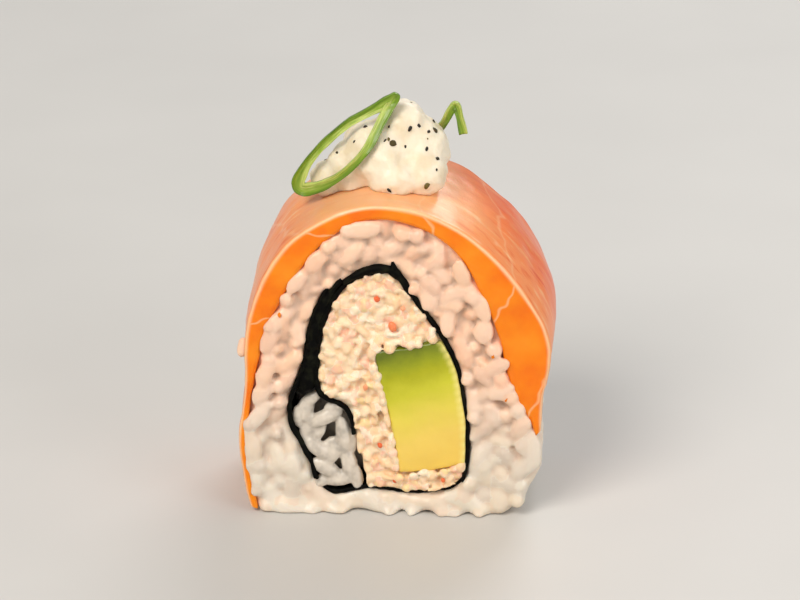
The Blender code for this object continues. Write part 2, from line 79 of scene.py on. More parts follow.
# The rice's outer edge on the cut face, in millimetres across and up, with the salmon's
# thickness over it. It runs from the foot of the left side over the top to the right foot.
ROLL_EDGE = [
    (-19.6, 0.0, 1.0),
    (-20.5, 4.2, 1.0),
    (-21.3, 10.8, 1.1),
    (-20.9, 15.4, 1.2),
    (-20.1, 20.5, 1.5),
    (-18.8, 27.0, 2.6),
    (-17.2, 32.0, 3.3),
    (-14.8, 36.7, 3.8),
    (-11.9, 41.0, 3.8),
    (-9.0, 44.0, 3.1),
    (-5.6, 46.3, 2.5),
    (-1.7, 47.2, 2.2),
    (3.5, 46.2, 2.4),
    (8.2, 43.0, 3.3),
    (11.4, 38.6, 4.6),
    (13.8, 33.5, 6.0),
    (15.4, 28.8, 7.1),
    (16.4, 24.2, 6.8),
    (18.0, 19.6, 4.8),
    (20.4, 15.2, 1.6),
    (21.5, 10.4, 0.0),
    (20.7, 6.0, 0.0),
    (18.8, 2.4, 0.0),
    (16.2, 0.0, 0.0),
]
BARE_FROM = 18.4  # from here on grains cover its side, counted in these points
BASE = ((16.4, 0.0), (-19.6, 0.0))  # where the base ends at the right and left

# The nori's route on the cut face and its thickness, from its inner end round the filling
# and over itself.
NORI_ROUTE = [
    (-5.7, 12.9, 0.5),
    (-6.1, 15.4, 0.5),
    (-7.3, 17.4, 0.5),
    (-9.3, 18.3, 0.5),
    (-10.9, 20.0, 0.7),
    (-11.3, 23.5, 0.9),
    (-11.0, 27.4, 0.9),
    (-10.0, 31.6, 0.8),
    (-8.0, 35.6, 0.6),
    (-5.2, 38.1, 0.6),
    (-1.8, 39.2, 0.7),
    (0.3, 39.0, 0.7),
    (2.0, 36.8, 0.5),
    (4.7, 32.9, 0.5),
    (7.5, 28.7, 0.5),
    (9.6, 24.1, 0.5),
    (10.5, 19.2, 0.5),
    (11.1, 14.6, 0.5),
    (11.1, 9.2, 0.5),
    (10.2, 5.3, 0.5),
    (7.1, 3.8, 0.5),
    (3.5, 3.4, 0.5),
    (-0.4, 3.6, 0.5),
    (-3.5, 4.0, 0.5),
    (-6.2, 3.4, 0.5),
    (-8.9, 3.0, 0.5),
    (-11.0, 4.7, 0.5),
    (-12.0, 7.9, 0.5),
    (-13.4, 11.1, 0.5),
    (-15.0, 14.2, 0.5),
    (-15.2, 17.7, 0.5),
    (-14.1, 20.9, 0.6),
    (-12.8, 24.3, 0.8),
    (-12.3, 28.0, 0.8),
    (-11.3, 32.2, 0.7),
    (-9.4, 36.4, 0.5),
]
# Places along the route, counted in its points.
NORI_TUCK_END = 4
NORI_LAP_TOP = 8
NORI_LAP_START = 23
NORI_LAP_SHUT = 31

# More nori, in millimetres across, up and thick: the doubled part between the two laps at the
# left, a torn tip that stands up at the top, and the thick part round the crown.
NORI_FOLD = [
    (-13.4, 19.4, 0.9),
    (-12.7, 21.0, 1.9),
    (-12.1, 23.9, 1.7),
    (-11.7, 27.7, 1.5),
    (-10.7, 31.9, 1.3),
    (-8.8, 35.9, 0.9),
    (-7.4, 37.6, 0.4),
]
NORI_TIP = [(0.0, 39.0, 1.3), (0.2, 39.9, 0.9), (0.1, 40.9, 0.3)]
NORI_CROWN = [
    (-7.2, 37.2, 0.4),
    (-5.0, 38.7, 0.8),
    (-2.6, 39.5, 1.0),
    (-0.4, 39.6, 1.1),
    (1.2, 38.2, 0.8),
    (2.9, 35.7, 0.6),
    (4.7, 32.9, 0.35),
]
# The strips that make the wrap: (route, points to a span, how far the edges rise in
# millimetres, seed of their tears).
NORI_STRIPS = [
    (NORI_ROUTE, 10, 0.0, 3),
    (NORI_FOLD, 16, 0.1, 5),
    (NORI_TIP, 6, 0.4, 7),
    (NORI_CROWN, 8, 0.3, 9),
]
NORI_SET_BACK = 0.45 * MM  # how far its edges lie inside the solid's
NORI_SUNK_BELOW = 5.4 * MM  # below this they lie further back, under rice and crumbs,
NORI_SUNK = 0.8 * MM  # by this
NORI_TEARS = (0.9 * MM, 0.25 * MM)  # size and depth of the tears
NORI_SWELLS = (1.5 * MM, 0.35)  # how long its thick and thin parts are, and how far they differ
NORI_FULLNESS = 1.25  # thickness of the sheet, as a share of its route's
NORI_NOSE = 0.25  # how far the middle of a rounded edge stands out, as a share of half of that,
NORI_SHOULDER = 0.3  # and how far its corners stand back
NORI_SIDES = 26  # points across each face of it
NORI_RUFFLE = (1.3 * MM, 0.1 * MM)

# The avocado's edge on the cut face before the nori trims it, in millimetres across and up.
AVOCADO_EDGE = [
    (1.1, 7.0),
    (5.6, 7.2),
    (14.0, 9.6),
    (14.0, 28.6),
    (6.2, 28.4),
    (2.2, 27.3),
    (-2.8, 26.5),
    (-1.6, 20.4),
    (0.2, 13.0),
]
AVOCADO_VOXEL = 0.3 * MM
AVOCADO_SMOOTHING = 6
AVOCADO_SKIN_SIDE = (12, 19)  # where its skin side faces the nori, counted in the route's points
AVOCADO_RIM = 1.1 * MM  # how wide the pale rim is there
AVOCADO_RUFFLES = ((5 * MM, 0.25 * MM), (1.5 * MM, 0.08 * MM))

# The outer rice.
RICE_INSET = 0.7 * MM
RICE_CORE_SUNK = 0.7 * MM  # how far the core's cut faces lie inside that level
RICE_SWELL = 0.5 * MM  # how far the core reaches out below the salmon, and in where it is bare
FLANK_STEPS = 6  # points to each span of the bare side
BASE_POINTS = 30  # and along the base
NORI_CLEAR = 0.8 * MM  # how far outside the nori's face the grains' own border lies
RICE_SHAPE = (8, 7)
RICE_BUMPS = (1.7 * MM, 0.9 * MM)
RICE_RUFFLE = (1.1 * MM, 0.1 * MM)
RICE_VOXEL = 0.36 * MM
RICE_PRESS_DEPTH = 11.9 * MM  # the knife pressed flat what stands out beyond this
PRESS_SHARE = 0.5  # and left this much of its height
FOOT_PRESSED = 0.9  # how much of the grains' relief is pressed out at the base,
FOOT_TOP = 20 * MM  # and how far up none of it is
HOLLOW_ROUNDS = 14  # how often the surroundings are evened out, to measure the gaps by
HOLLOW_DEPTH = 0.35 * MM  # the depth of a full gap between grains
GAP_PAINTED_SHADE = 0.66  # how light the painted shade in a full gap leaves the rice, as a share
STRAY_TILT = 0.1  # how far the stray grains dip to the back

# Grains stuck where the salmon ends: (across, back, up, angle in degrees, length, width), in
# millimetres. The first is a lone grain on the salmon's left side.
STRAY_GRAINS = [
    (-22.1, -10.2, 26.2, 80, 3.2, 1.8),
    (-21.2, -11.0, 12.2, 100, 5.4, 2.5),
    (-21.0, -11.0, 8.4, 75, 5.0, 2.6),
    (-20.9, 10.9, 10.4, 95, 5.2, 2.5),
]

# The trapped rice.
TRAPPED_INSET = 1.0 * MM
TRAPPED_CORE_SUNK = 6.5 * MM  # deep enough for the gaps between the grains to look dark
TRAPPED_CORE_VOXEL = 0.6 * MM
TRAPPED_CORE_RUFFLE = (2.0 * MM, 0.5 * MM)
TRAPPED_BUMPS = (1.5 * MM, 0.6 * MM)
TRAPPED_VOXEL = 0.24 * MM
TRAPPED_PROUD = 0.9  # how far the highest grains stand out, in millimetres
TRAPPED_TILT = 0.12  # the most that a grain at the front dips

# Grains of the trapped rice at the front: (across, up, angle in degrees, length, width, depth
# sunk), in millimetres. Dark gaps are left between them.
TRAPPED_FRONT = [
    (-10.0, 15.2, 25, 6.0, 2.6, 0.2),
    (-13.0, 16.2, 80, 4.4, 2.7, 0.6),
    (-7.3, 12.2, 97, 6.4, 2.4, 0.3),
    (-11.3, 10.2, -40, 5.0, 2.6, 0.1),
    (-12.6, 13.0, 62, 4.4, 2.4, 0.7),
    (-8.9, 9.2, 60, 5.0, 2.4, 0.4),
    (-6.4, 7.4, 100, 5.4, 2.6, 0.4),
    (-10.0, 6.9, -28, 5.0, 2.6, 0.2),
    (-8.0, 5.1, 10, 5.2, 2.5, 0.4),
    (-10.9, 12.8, 70, 3.6, 2.0, 0.9),
    (-14.0, 15.0, 100, 3.8, 2.0, 0.8),
    (-8.3, 17.0, 15, 4.0, 2.0, 0.7),
    (-10.6, 4.6, 30, 3.6, 2.2, 0.8),
    (-6.0, 11.0, 85, 4.4, 1.8, 1.0),
    (-12.0, 18.0, 40, 3.6, 2.0, 0.9),
    (-9.6, 10.3, 55, 3.8, 2.0, 0.8),
    (-5.3, 5.2, 95, 4.4, 2.0, 0.6),
]

# The crab salad.
SALAD_INSET = 0.75 * MM
SALAD_CORE_SUNK = 0.6 * MM
SALAD_SPARE = 0.3 * MM  # how far the crumbs' own border lies outside the filling
AVOCADO_ROOM = 0.88  # size of the core's hole for the avocado, as a share of the avocado's
SALAD_PROUD = 0.75 * MM
SALAD_BRIM = 1.15 * MM  # how high the crumbs lie round the avocado
SALAD_VOXEL = 0.27 * MM
SALAD_RUFFLE = (0.9 * MM, 0.16 * MM)
CRUMB_SHAPE = (7, 6)
CRUMB_BUMPS = (0.9 * MM, 0.7 * MM)
RED_BIT_BUMPS = (0.5 * MM, 0.5 * MM)

# Red-orange bits of the crab salad at the front, in millimetres: (across, up, size).
RED_BITS_AT_FRONT = [
    (0.1, 30.6, 1.6),
    (-2.2, 35.0, 1.0),
    (1.6, 33.6, 0.9),
    (-3.9, 20.8, 1.0),
    (-1.8, 11.4, 0.9),
    (0.6, 5.7, 1.1),
    (7.6, 6.0, 0.8),
]

# The salmon slice.
SALMON_GAP = 0.3 * MM  # how far it stands off the rice
SALMON_FOOT = 0.5 * MM  # how high it starts at the left
SALMON_END_POINT = 19.35  # where it ends at the front, counted in the roll's points,
SALMON_SLANT = 0.85  # and how much sooner it ends at the back
SALMON_FULLNESS = 0.14  # how much thicker it is halfway back, as a share
SALMON_STEPS = 24  # points to each span of its bed
SALMON_STATIONS = 230  # sections along it
SALMON_TIP = 0.03 * MM  # how much of its rounded ends is cut off square
SALMON_ROUNDED = (0.5, 0.2 * MM)  # how long they are: this share of the thickness, and this more
OUTER_CORNER = (0.42, 0.7 * MM)  # rounding: this share of the thickness, but at most this
INNER_CORNER = (0.3, 0.6 * MM)
CORNER_POINTS = 7  # points round an outer corner, and along the three faces
CUT_POINTS = 9
OUTSIDE_POINTS = 36
BED_POINTS = 12
SALMON_RUFFLES = ((7 * MM, 0.3 * MM), (2.2 * MM, 0.09 * MM))
SALMON_CRUMB_PROUD = 0.95 * MM
SALMON_CRUMB_BUMPS = (0.5 * MM, 0.4 * MM)

# Crumbs of salmon on the rice beside the slice, in millimetres: (across, up, size).
SALMON_CRUMBS_AT_FRONT = [
    (-16.4, 32.4, 0.9),
    (14.9, 26.6, 1.1),
    (17.0, 19.6, 0.8),
]

# The spoonful of cream cheese: lumps of (across, back, up, radius), and the specks of pepper
# that show at its front: (across, up, size). All are in millimetres.
CHEESE_LUMPS = [
    (2.9, 0.2, 54.2, 5.1),
    (0.9, 0.2, 57.4, 4.2),
    (-2.2, -1.0, 53.6, 5.2),
    (-5.8, -0.4, 51.2, 4.4),
    (-9.2, 0.2, 49.2, 3.4),
    (-3.6, 3.2, 52.2, 4.8),
    (3.0, 3.4, 51.4, 4.2),
    (4.0, -2.4, 51.4, 3.8),
    (-0.2, -3.6, 50.8, 3.8),
]
PEPPER_AT_FRONT = [
    (-0.2, 56.6, 1.3),
    (2.2, 58.6, 0.9),
    (5.8, 57.6, 1.1),
    (4.8, 50.9, 1.2),
    (-0.6, 50.4, 1.0),
    (1.6, 56.0, 0.6),
]
CHEESE_FACETS = 4  # how finely each lump is divided
CHEESE_VOXEL = 0.42 * MM
CHEESE_SMOOTHING = 9
CHEESE_RUFFLES = ((4.5 * MM, 0.7 * MM), (1.8 * MM, 0.36 * MM), (0.8 * MM, 0.13 * MM))
PEPPER_STREWN = 24  # specks strewn over the rest of it,
PEPPER_LOWEST = 51.5 * MM  # above this,
PEPPER_SIZES = (0.3, 0.8)  # of these sizes in millimetres,
PEPPER_WIDTHS = (0.5, 0.9)  # and these widths and this thickness, as shares of their size
PEPPER_FLATNESS = 0.45
PEPPER_SHAPE = (5, 4)
PEPPER_BUMPS = (0.35 * MM, 0.5 * MM)

# The scallion strips, as the solids have them.
SCALLION_FREE_DEPTH = 1.0 * MM  # where a strip lies with nothing behind it
SCALLION_EASING = 3  # how often its depths are evened out
SCALLION_GAP = 0.3 * MM  # how far it stands off what it leans on
LEAF_BLUNTNESS = 0.42  # nought is square and 1 is round
LEAF_CHANNEL = 0.75  # depth of the channel in its front
RING_CENTRE = Vector((-7.1, 0.0, 55.9)) * MM
RING_LONG = Vector((6.9, 0.0, 7.1)) * MM
RING_HALF_WIDTH = 2.2 * MM
RING_TAPER = (0.75, 0.25, 0.25)  # its width as a share, and how far it varies round and up
RING_WALL = 0.6 * MM
RING_END_WALL = 1.0 * MM
RING_PINCH = (0.3, 0.9, 0.45)  # from one share of its half length to another it closes by this
RING_EASING = 0.2  # how slowly its wall gets its full thickness on the way from an end
RING_DEPTH = 0.5 * MM
RING_POINTS = 32
RING_SMOOTHING = 6  # finished points to each of these
RING_SECTION = 28  # points round its section
RING_SWELL = (3, 0.22)  # how often its width swells on the way round, and how far
CURL_ROUTE = [
    (3.6, 51.2),
    (5.0, 53.4),
    (6.6, 56.2),
    (7.8, 59.0),
    (8.6, 60.0),
    (9.2, 58.4),
    (9.8, 55.6),
]
CURL_WALL = 0.62 * MM
CURL_WIDTH = 0.6 * MM
CURL_STEPS = (3, 4)  # points to each span before it leans on anything, and to those after
CURL_SECTION = 24
CURL_SWELL = (11, 0.2)  # how many points a swell of the curl's wall takes, and how far it goes
CURL_ENDS = (0.12, 0.76)  # where its narrowing starts on a half wave, and how far it goes on
CURL_NARROW = 0.55  # its least width, as a share of the full one

# How pieces lie: ranges of their length, width and height above the face, the least distance
# between two, how far they cross a region's border, their greatest dip in radians, how thick
# they are for their width, how high they lie on the region's outer and inner borders, and the
# share of them that stand on end.
Strewing = namedtuple(
    "Strewing",
    "length width proud spacing overlap tilt flat brims end_on",
    defaults=(0.8, (None, None), 0.0),
)
# Where a piece lies, which way its length and its outer side point, and its size.
Place = namedtuple("Place", "at along out size")
DARTS = 14000  # places tried on a cut face
FLANK_DARTS = 3500  # and on a side
FLANK_SWING = 0.6  # how far grains on the side lie askew, in radians
FLANK_REST = 0.42  # how high they lie at the base, as a share of their thickness
LIES = 10  # directions tried for a piece
END_ON_LEAN = 0.2  # how far a piece that only fits on end leans
FEWEST_POINTS = 140  # a loose bit with fewer points than this is no grain, but a speck
GRAIN_SHARES = (-0.36, -0.18, 0.0, 0.18, 0.36)  # places along a piece's length, for finding it
WELD = 0.001 * MM

# The camera stands where the photograph's did, and looks straight at the slice.
CAMERA_AZIMUTH = math.radians(3.0)
CAMERA_ELEVATION = math.radians(23.4)
CAMERA_DISTANCE = 0.59
CAMERA_TARGET = Vector((0.6, 0.0, 30.0)) * MM
CAMERA_LENS = 178.0
SENSOR = 36.0
CAMERA_CLIP = 0.05
FLOOR_SIZE = 6.0
SKY_STRENGTH = 0.38

# Soft boxes: (name, which is also the property that sets its power, place, size, colour).
LIGHTS = [
    ("key", (-0.38, -0.62, 0.75), 0.55, "#FFF8EF"),
    ("fill", (0.75, -0.55, 0.35), 0.7, "#FFFFFF"),
    ("rim", (0.25, 0.7, 0.6), 0.5, "#FFFFFF"),
]

# The sockets of a Mix node that mixes colours, and the one number that a Random Value node
# gives, which share their names with other sockets.
MIX_A = 6
MIX_B = 7
MIX_RESULT = 2
RANDOM_NUMBER = 1


def linear(code):
    """A colour given as an sRGB hex code, in linear light."""
    shares = [int(code[i : i + 2], 16) / 255 for i in (1, 3, 5)]
    return [c / 12.92 if c <= 0.04045 else ((c + 0.055) / 1.055) ** 2.4 for c in shares]


def colour(name, description, code):
    """A colour that a user can change."""
    return FloatVectorProperty(
        name=name, description=description, default=linear(code), subtype="COLOR", min=0.0, max=1.0
    )


def distance(name, description, millimetres):
    """A length that a user can change."""
    return FloatProperty(
        name=name, description=description, default=millimetres * MM, unit="LENGTH", precision=5
    )


def power(name, description, watts):
    """A light's power that a user can change."""
    return FloatProperty(name=name, description=description, default=watts, min=0.0, unit="POWER")


class UramakiRice(PropertyGroup):
    """Sizes and colours of the rice, and the seed of all strewing"""

    grain_length: distance("Grain length", "Length of the longest cooked grain", 6.4)
    grain_width: distance("Grain width", "Width of the widest cooked grain", 3.1)
    spacing: distance("Spacing", "Least distance between the middles of two grains", 1.95)
    proud: distance("Proud", "How far the highest grains stand out of a cut face", 1.2)
    seed: IntProperty(name="Seed", description="Seed of the strewing", default=5, min=0)
    # Upper rice holds painted warm light bounced from the salmon, lower rice painted shade near the
    # base.
    upper: colour("Upper rice", "Rice warmed by the salmon", "#F6D1B6")
    lower: colour("Lower rice", "Plain rice near the base", "#E4DACA")
    trapped: colour("Trapped rice", "Rice between the laps of nori", "#D2C8BA")


class UramakiFilling(PropertyGroup):
    """Sizes and colours of what the rice wraps"""

    crumb: distance("Crumb", "Size of the largest crumb of crab salad", 2.5)
    crumb_spacing: distance("Crumb spacing", "Least distance between two crumbs", 1.2)
    shred: distance("Shred", "Length of the longest crab shred", 3.4)
    salad: colour("Salad", "Dressed crab salad", "#F8D6AE")
    salad_pink: colour("Pink shreds", "Crab shreds with their pink skin", "#F9C3A4")
    red_bits: colour("Red bits", "Bits of crab skin", "#E4622C")
    nori: colour("Nori", "Damp toasted seaweed", "#040403")
    nori_edge: colour("Nori edge", "Torn and thin nori", "#191A0F")
    avocado_skin: colour("Avocado skin side", "Flesh just under the skin", "#627002")
    avocado_green: colour("Avocado green", "Flesh of the outer third", "#B0B008")
    avocado_yellow: colour("Avocado yellow", "Flesh near the stone", "#EFC655")


class UramakiTopping(PropertyGroup):
    """Colours of the salmon and the garnish"""

    salmon_cut: colour("Salmon cut face", "Fresh cut flesh", "#F48200")
    salmon_skin: colour("Salmon outside", "Flat side of the slice", "#F8924E")
    salmon_pale: colour("Salmon pale parts", "Fatty parts of the flat side", "#FBC28E")
    salmon_deep: colour("Salmon deep parts", "Lean parts of the flat side", "#EA6205")
    # The pale colour of fat also paints the highlight along the edge of the cut.
    salmon_fat_and_edge_highlight: colour("Salmon fat", "Thin seams of fat", "#FFD9AC")
    cheese: colour("Cream cheese", "Whipped cream cheese", "#F4E7CF")
    pepper: colour("Pepper", "Cracked black pepper", "#241B0C")
    pepper_olive: colour("Pepper light", "Lighter bits of pepper and herb", "#6A5C28")
    scallion: colour("Scallion", "Outside of the leaf", "#6B8C16")
    scallion_light: colour("Scallion light", "Inside of the leaf", "#C4D070")


class UramakiStage(PropertyGroup):
    """The floor and the lights"""

    floor: colour("Floor", "Plain pale floor", "#CBC9C5")
    key: power("Key light", "Power of the key light", 7.5)
    fill: power("Fill light", "Power of the fill", 3.0)
    rim: power("Rim light", "Power of the back light", 3.2)


def smooth_path(points, steps):
    """Points along a Catmull-Rom curve through the given ones, `steps` to each span."""
    knots = np.array(points, float)
    ends = (2 * knots[0] - knots[1], 2 * knots[-1] - knots[-2])
    knots = np.vstack([ends[0], knots, ends[1]])
    path = []
    for before, start, end, after in zip(knots, knots[1:], knots[2:], knots[3:]):
        for t in np.arange(steps) / steps:
            bend = (2 * before - 5 * start + 4 * end - after) * t**2
            twist = (3 * start - before - 3 * end + after) * t**3
            path.append(start + ((end - before) * t + bend + twist) / 2)
    path.append(knots[-2])
    return np.array(path)


def rightward(path):
    """The unit directions to the right of an open path, seen with X right and Z up."""
    along = np.gradient(path, axis=0)
    along /= np.linalg.norm(along, axis=1)[:, None]
    return np.column_stack([along[:, 1], -along[:, 0]])


def beside(path, reach):
    """The open path moved to its right by this distance."""
    return path + rightward(path) * reach


def lengths_along(path):
    """The distance of each point from the path's start."""
    return np.concatenate([[0.0], np.cumsum(np.linalg.norm(np.diff(path, axis=0), axis=1))])


def inside(outline, point):
    """Whether a point lies in the closed outline."""
    x, z = point
    a = outline
    b = np.roll(outline, -1, axis=0)
    crosses = (a[:, 1] > z) != (b[:, 1] > z)
    a, b = a[crosses], b[crosses]
    at = a[:, 0] + (z - a[:, 1]) * (b[:, 0] - a[:, 0]) / (b[:, 1] - a[:, 1])
    return bool((at > x).sum() % 2)


def clearance(outline, point):
    """The distance from a point to the nearest side of the closed outline."""
    along = np.roll(outline, -1, axis=0) - outline
    share = ((point - outline) * along).sum(1) / (along**2).sum(1)
    nearest = outline + along * np.clip(share, 0, 1)[:, None]
    return float(np.linalg.norm(nearest - point, axis=1).min())


class Region:
    """A part of the cut face: inside one outline, and outside another if there is one."""

    def __init__(self, outline, hole=None):
        self.outline = outline
        self.hole = hole

    def room(self, point):
        """How far a point lies inside the region, less than nothing outside it."""
        point = np.array(point)
        sign = 1 if inside(self.outline, point) else -1
        room = sign * clearance(self.outline, point)
        if self.hole is not None:
            sign = -1 if inside(self.hole, point) else 1
            room = min(room, sign * clearance(self.hole, point))
        return room


def roll_outline(grown=0.0):
    """The roll's edge on the cut face, moved out by one distance or by one for each point."""
    edge = beside(smooth_path(ROLL_EDGE, OUTLINE_STEPS)[:, :2] * MM, -grown)
    return np.maximum(edge, [-np.inf, 0.0])


def nori_sides(first, last, spare=0.0):
    """Lines along the inner and outer faces of a stretch of nori, with spare room between."""
    end = None if last is None else last * OUTLINE_STEPS + 1
    path = smooth_path(NORI_ROUTE, OUTLINE_STEPS)[first * OUTLINE_STEPS : end] * MM
    reach = path[:, 2:] / 2 + spare
    return beside(path[:, :2], reach), beside(path[:, :2], -reach)


def filling_outline(spare=0.0):
    """What the nori wraps: crab salad and avocado."""
    return nori_sides(0, NORI_LAP_START, spare)[0]


def hole_outline(spare=0.0):
    """The hole in the outer rice, round the nori's outer lap."""
    return nori_sides(NORI_LAP_TOP, None, spare)[1]


def trapped_outline():
    """The pocket of rice between the nori's tucked edge and its outer lap."""
    lap = nori_sides(NORI_LAP_START, NORI_LAP_SHUT)[0]
    tuck = nori_sides(0, NORI_TUCK_END)[1]
    return np.vstack([lap, tuck[::-1]])


def avocado_outline():
    """The stick's edge before the nori trims it."""
    return np.array(AVOCADO_EDGE) * MM


def add_node(tree, kind, inputs=None, **settings):
    """Adds a node with its settings. Each input is a value or a socket to link."""
    node = tree.nodes.new(kind)
    for name, value in settings.items():
        setattr(node, name, value)
    for name, value in (inputs or {}).items():
        if isinstance(value, bpy.types.NodeSocket):
            tree.links.new(value, node.inputs[name])
        else:
            node.inputs[name].default_value = value
    return node


def tinted(value):
    """A socket as it is, and a hex code or three shares of linear light as an opaque colour."""
    if isinstance(value, bpy.types.NodeSocket):
        return value
    return (*(linear(value) if isinstance(value, str) else value), 1.0)


def scaled(tint, share):
    """A colour made darker or lighter."""
    return [min(1.0, share * part) for part in tint]


class Nodes:
    """A node tree being built. Its methods add a node each, and return one of its outputs."""

    def __init__(self, tree):
        self.tree = tree

    def add(self, kind, output, inputs=None, **settings):
        """Adds any node, and returns this output of it."""
        return add_node(self.tree, kind, inputs, **settings).outputs[output]

    def maths(self, operation, *values):
        """The result of one operation on numbers."""
        return self.add("ShaderNodeMath", 0, dict(enumerate(values)), operation=operation)


class Finish(Nodes):
    """A material being made, with a Principled shader.

    A glow is the share of the light that sinks in, how far each colour goes, and the metres of
    that. A coat is how much moisture lies on the food, and how rough it is.
    """

    def __init__(self, name, roughness, ior=1.5, specular=0.5, glow=None, coat=None):
        self.material = bpy.data.materials.new(name)
        self.material.use_nodes = True
        super().__init__(self.material.node_tree)
        self.shader = self.tree.nodes["Principled BSDF"]
        values = {"Roughness": roughness, "IOR": ior, "Specular IOR Level": specular}
        if glow:
            values.update(zip(("Subsurface Weight", "Subsurface Radius", "Subsurface Scale"), glow))
        if coat:
            values.update(zip(("Coat Weight", "Coat Roughness"), coat))
        for socket, value in values.items():
            self.shader.inputs[socket].default_value = value

    @cached_property
    def place(self):
        """Where a point is in its piece's own frame."""
        return self.add("ShaderNodeTexCoord", "Object")

    def split(self, vector):
        """The parts of a vector, by their letters."""
        return add_node(self.tree, "ShaderNodeSeparateXYZ", {"Vector": vector}).outputs

    def own(self, name, output="Fac"):
        """What the piece's mesh keeps for each point under this name."""
        return self.add("ShaderNodeAttribute", output, attribute_name=name)

    def noise(self, size, detail, vector=None, **inputs):
        """Patches of about this size, by the place or by another vector."""
        vector = self.place if vector is None else vector
        inputs = {"Vector": vector, "Scale": 1 / size, "Detail": detail, **inputs}
        return self.add("ShaderNodeTexNoise", "Fac", inputs)

    def drawn_out(self, vector, scale):
        """The vector with its parts scaled, which draws out the noise that follows it."""
        return self.add("ShaderNodeMapping", "Vector", {"Vector": vector, "Scale": scale})

    def ranged(self, value, start, end, low=0.0, high=1.0, kind="LINEAR"):
        """How far a value is on its way from start to end, told from low to high."""
        inputs = {"Value": value, "From Min": start, "From Max": end, "To Min": low, "To Max": high}
        return self.add("ShaderNodeMapRange", "Result", inputs, interpolation_type=kind)

    def ramp(self, share, *stops):
        """The colour at this share of a run of stops, each of them a share and a colour."""
        node = add_node(self.tree, "ShaderNodeValToRGB", {"Fac": share})
        elements = node.color_ramp.elements
        for index, (place, tint) in enumerate(stops):
            stop = elements[index] if index < len(elements) else elements.new(place)
            stop.position = place
            stop.color = tinted(tint)
        return node.outputs["Color"]

    def mixed(self, share, first, second, kind="MIX"):
        """Two colours mixed, with this share of the second."""
        inputs = {0: share, MIX_A: tinted(first), MIX_B: tinted(second)}
        return self.add("ShaderNodeMix", MIX_RESULT, inputs, data_type="RGBA", blend_type=kind)

    def raised(self, shape, height):
        """Lays relief of this shape and height over what there is."""
        inputs = {"Height": shape, "Distance": height, "Strength": 1.0}
        normal = self.shader.inputs["Normal"]
        if normal.is_linked:
            inputs["Normal"] = normal.links[0].from_socket
        self.tree.links.new(self.add("ShaderNodeBump", "Normal", inputs), normal)

    def coloured(self, tint, *relief):
        """The finished material, with fine relief in layers: the size of bumps and their height."""
        self.tree.links.new(tint, self.shader.inputs["Base Color"])
        for size, height in relief:
            self.raised(self.noise(size, 3.0), height)
        return self.material


def rice_material(colours):
    """Steamed short-grain rice: milky and translucent, moist, with painted warm light bounced from
    the salmon on its upper part and painted shade towards the base.

    Each grain has a "shade" of its own, and the gaps between grains are darkened with painted
    shade as far as "hollow".
    """
    finish = Finish(
        "Steamed short-grain rice, pressed and sliced",
        roughness=0.36,
        ior=1.42,
        glow=(0.35, (1.0, 0.72, 0.5), 0.6 * MM),
        coat=(0.12, 0.2),
    )
    # The border between the painted warm bounce above and the painted shade below wanders
    # up and down by a few millimetres.
    up = finish.split(finish.place)["Z"]
    height = finish.maths("MULTIPLY_ADD", finish.noise(7 * MM, 2.0), 10 * MM, up)
    # Painted light: the upper rice takes a warm bounce from the salmon, the lower rice painted shade.
    painted_bounce_share = finish.ranged(height, 13 * MM, 30 * MM, kind="SMOOTHSTEP")
    tint = finish.mixed(painted_bounce_share, colours.lower, colours.upper)
    grains = finish.ramp(
        finish.own("shade"), (0.0, "#F4EEEB"), (0.35, "#FFFFFF"), (0.7, "#FFFAF3"), (1.0, "#FFF3EC")
    )
    rice = finish.mixed(1.0, tint, grains, "MULTIPLY")
    # Painted shade darkens the gaps between grains.
    rice = finish.mixed(finish.own("hollow"), rice, scaled(colours.upper, GAP_PAINTED_SHADE))
    return finish.coloured(rice, (0.9 * MM, 0.05 * MM), (0.3 * MM, 0.015 * MM))


def trapped_rice_material(colours):
    """The same rice in the shade of the nori: greyer, wetter and more see-through."""
    finish = Finish(
        "Steamed rice, wet between sheets of nori",
        roughness=0.27,
        ior=1.42,
        glow=(0.5, (0.9, 0.85, 0.75), 1.4 * MM),
        coat=(0.2, 0.15),
    )
    dark, light = (scaled(colours.trapped, share) for share in (0.74, 1.12))
    tint = finish.ramp(
        finish.noise(1.8 * MM, 2.0), (0.32, dark), (0.5, colours.trapped), (0.68, light)
    )
    return finish.coloured(tint, (0.9 * MM, 0.05 * MM))


def nori_material(colours):
    """Toasted seaweed gone damp: nearly black, dull, with olive patches."""
    finish = Finish("Nori, toasted and damp", roughness=0.6, ior=1.4, specular=0.1)
    patches = finish.noise(1.6 * MM, 4.0)
    tint = finish.ramp(patches, (0.5, colours.nori), (0.72, colours.nori_edge))
    return finish.coloured(tint, (0.6 * MM, 0.08 * MM), (0.2 * MM, 0.03 * MM))


def salad_material(name, *stops):
    """Crab salad bound with mayonnaise: creamy and soft, each crumb of its own tint."""
    finish = Finish(
        name, roughness=0.42, ior=1.45, glow=(0.35, (1.0, 0.6, 0.4), 0.6 * MM), coat=(0.1, 0.25)
    )
    wander = finish.maths("MULTIPLY_ADD", finish.noise(1.4 * MM, 3.0), 0.5, finish.own("shade"))
    tint = finish.ramp(finish.maths("SUBTRACT", wander, 0.25), *stops)
    return finish.coloured(tint, (0.5 * MM, 0.06 * MM), (0.18 * MM, 0.02 * MM))


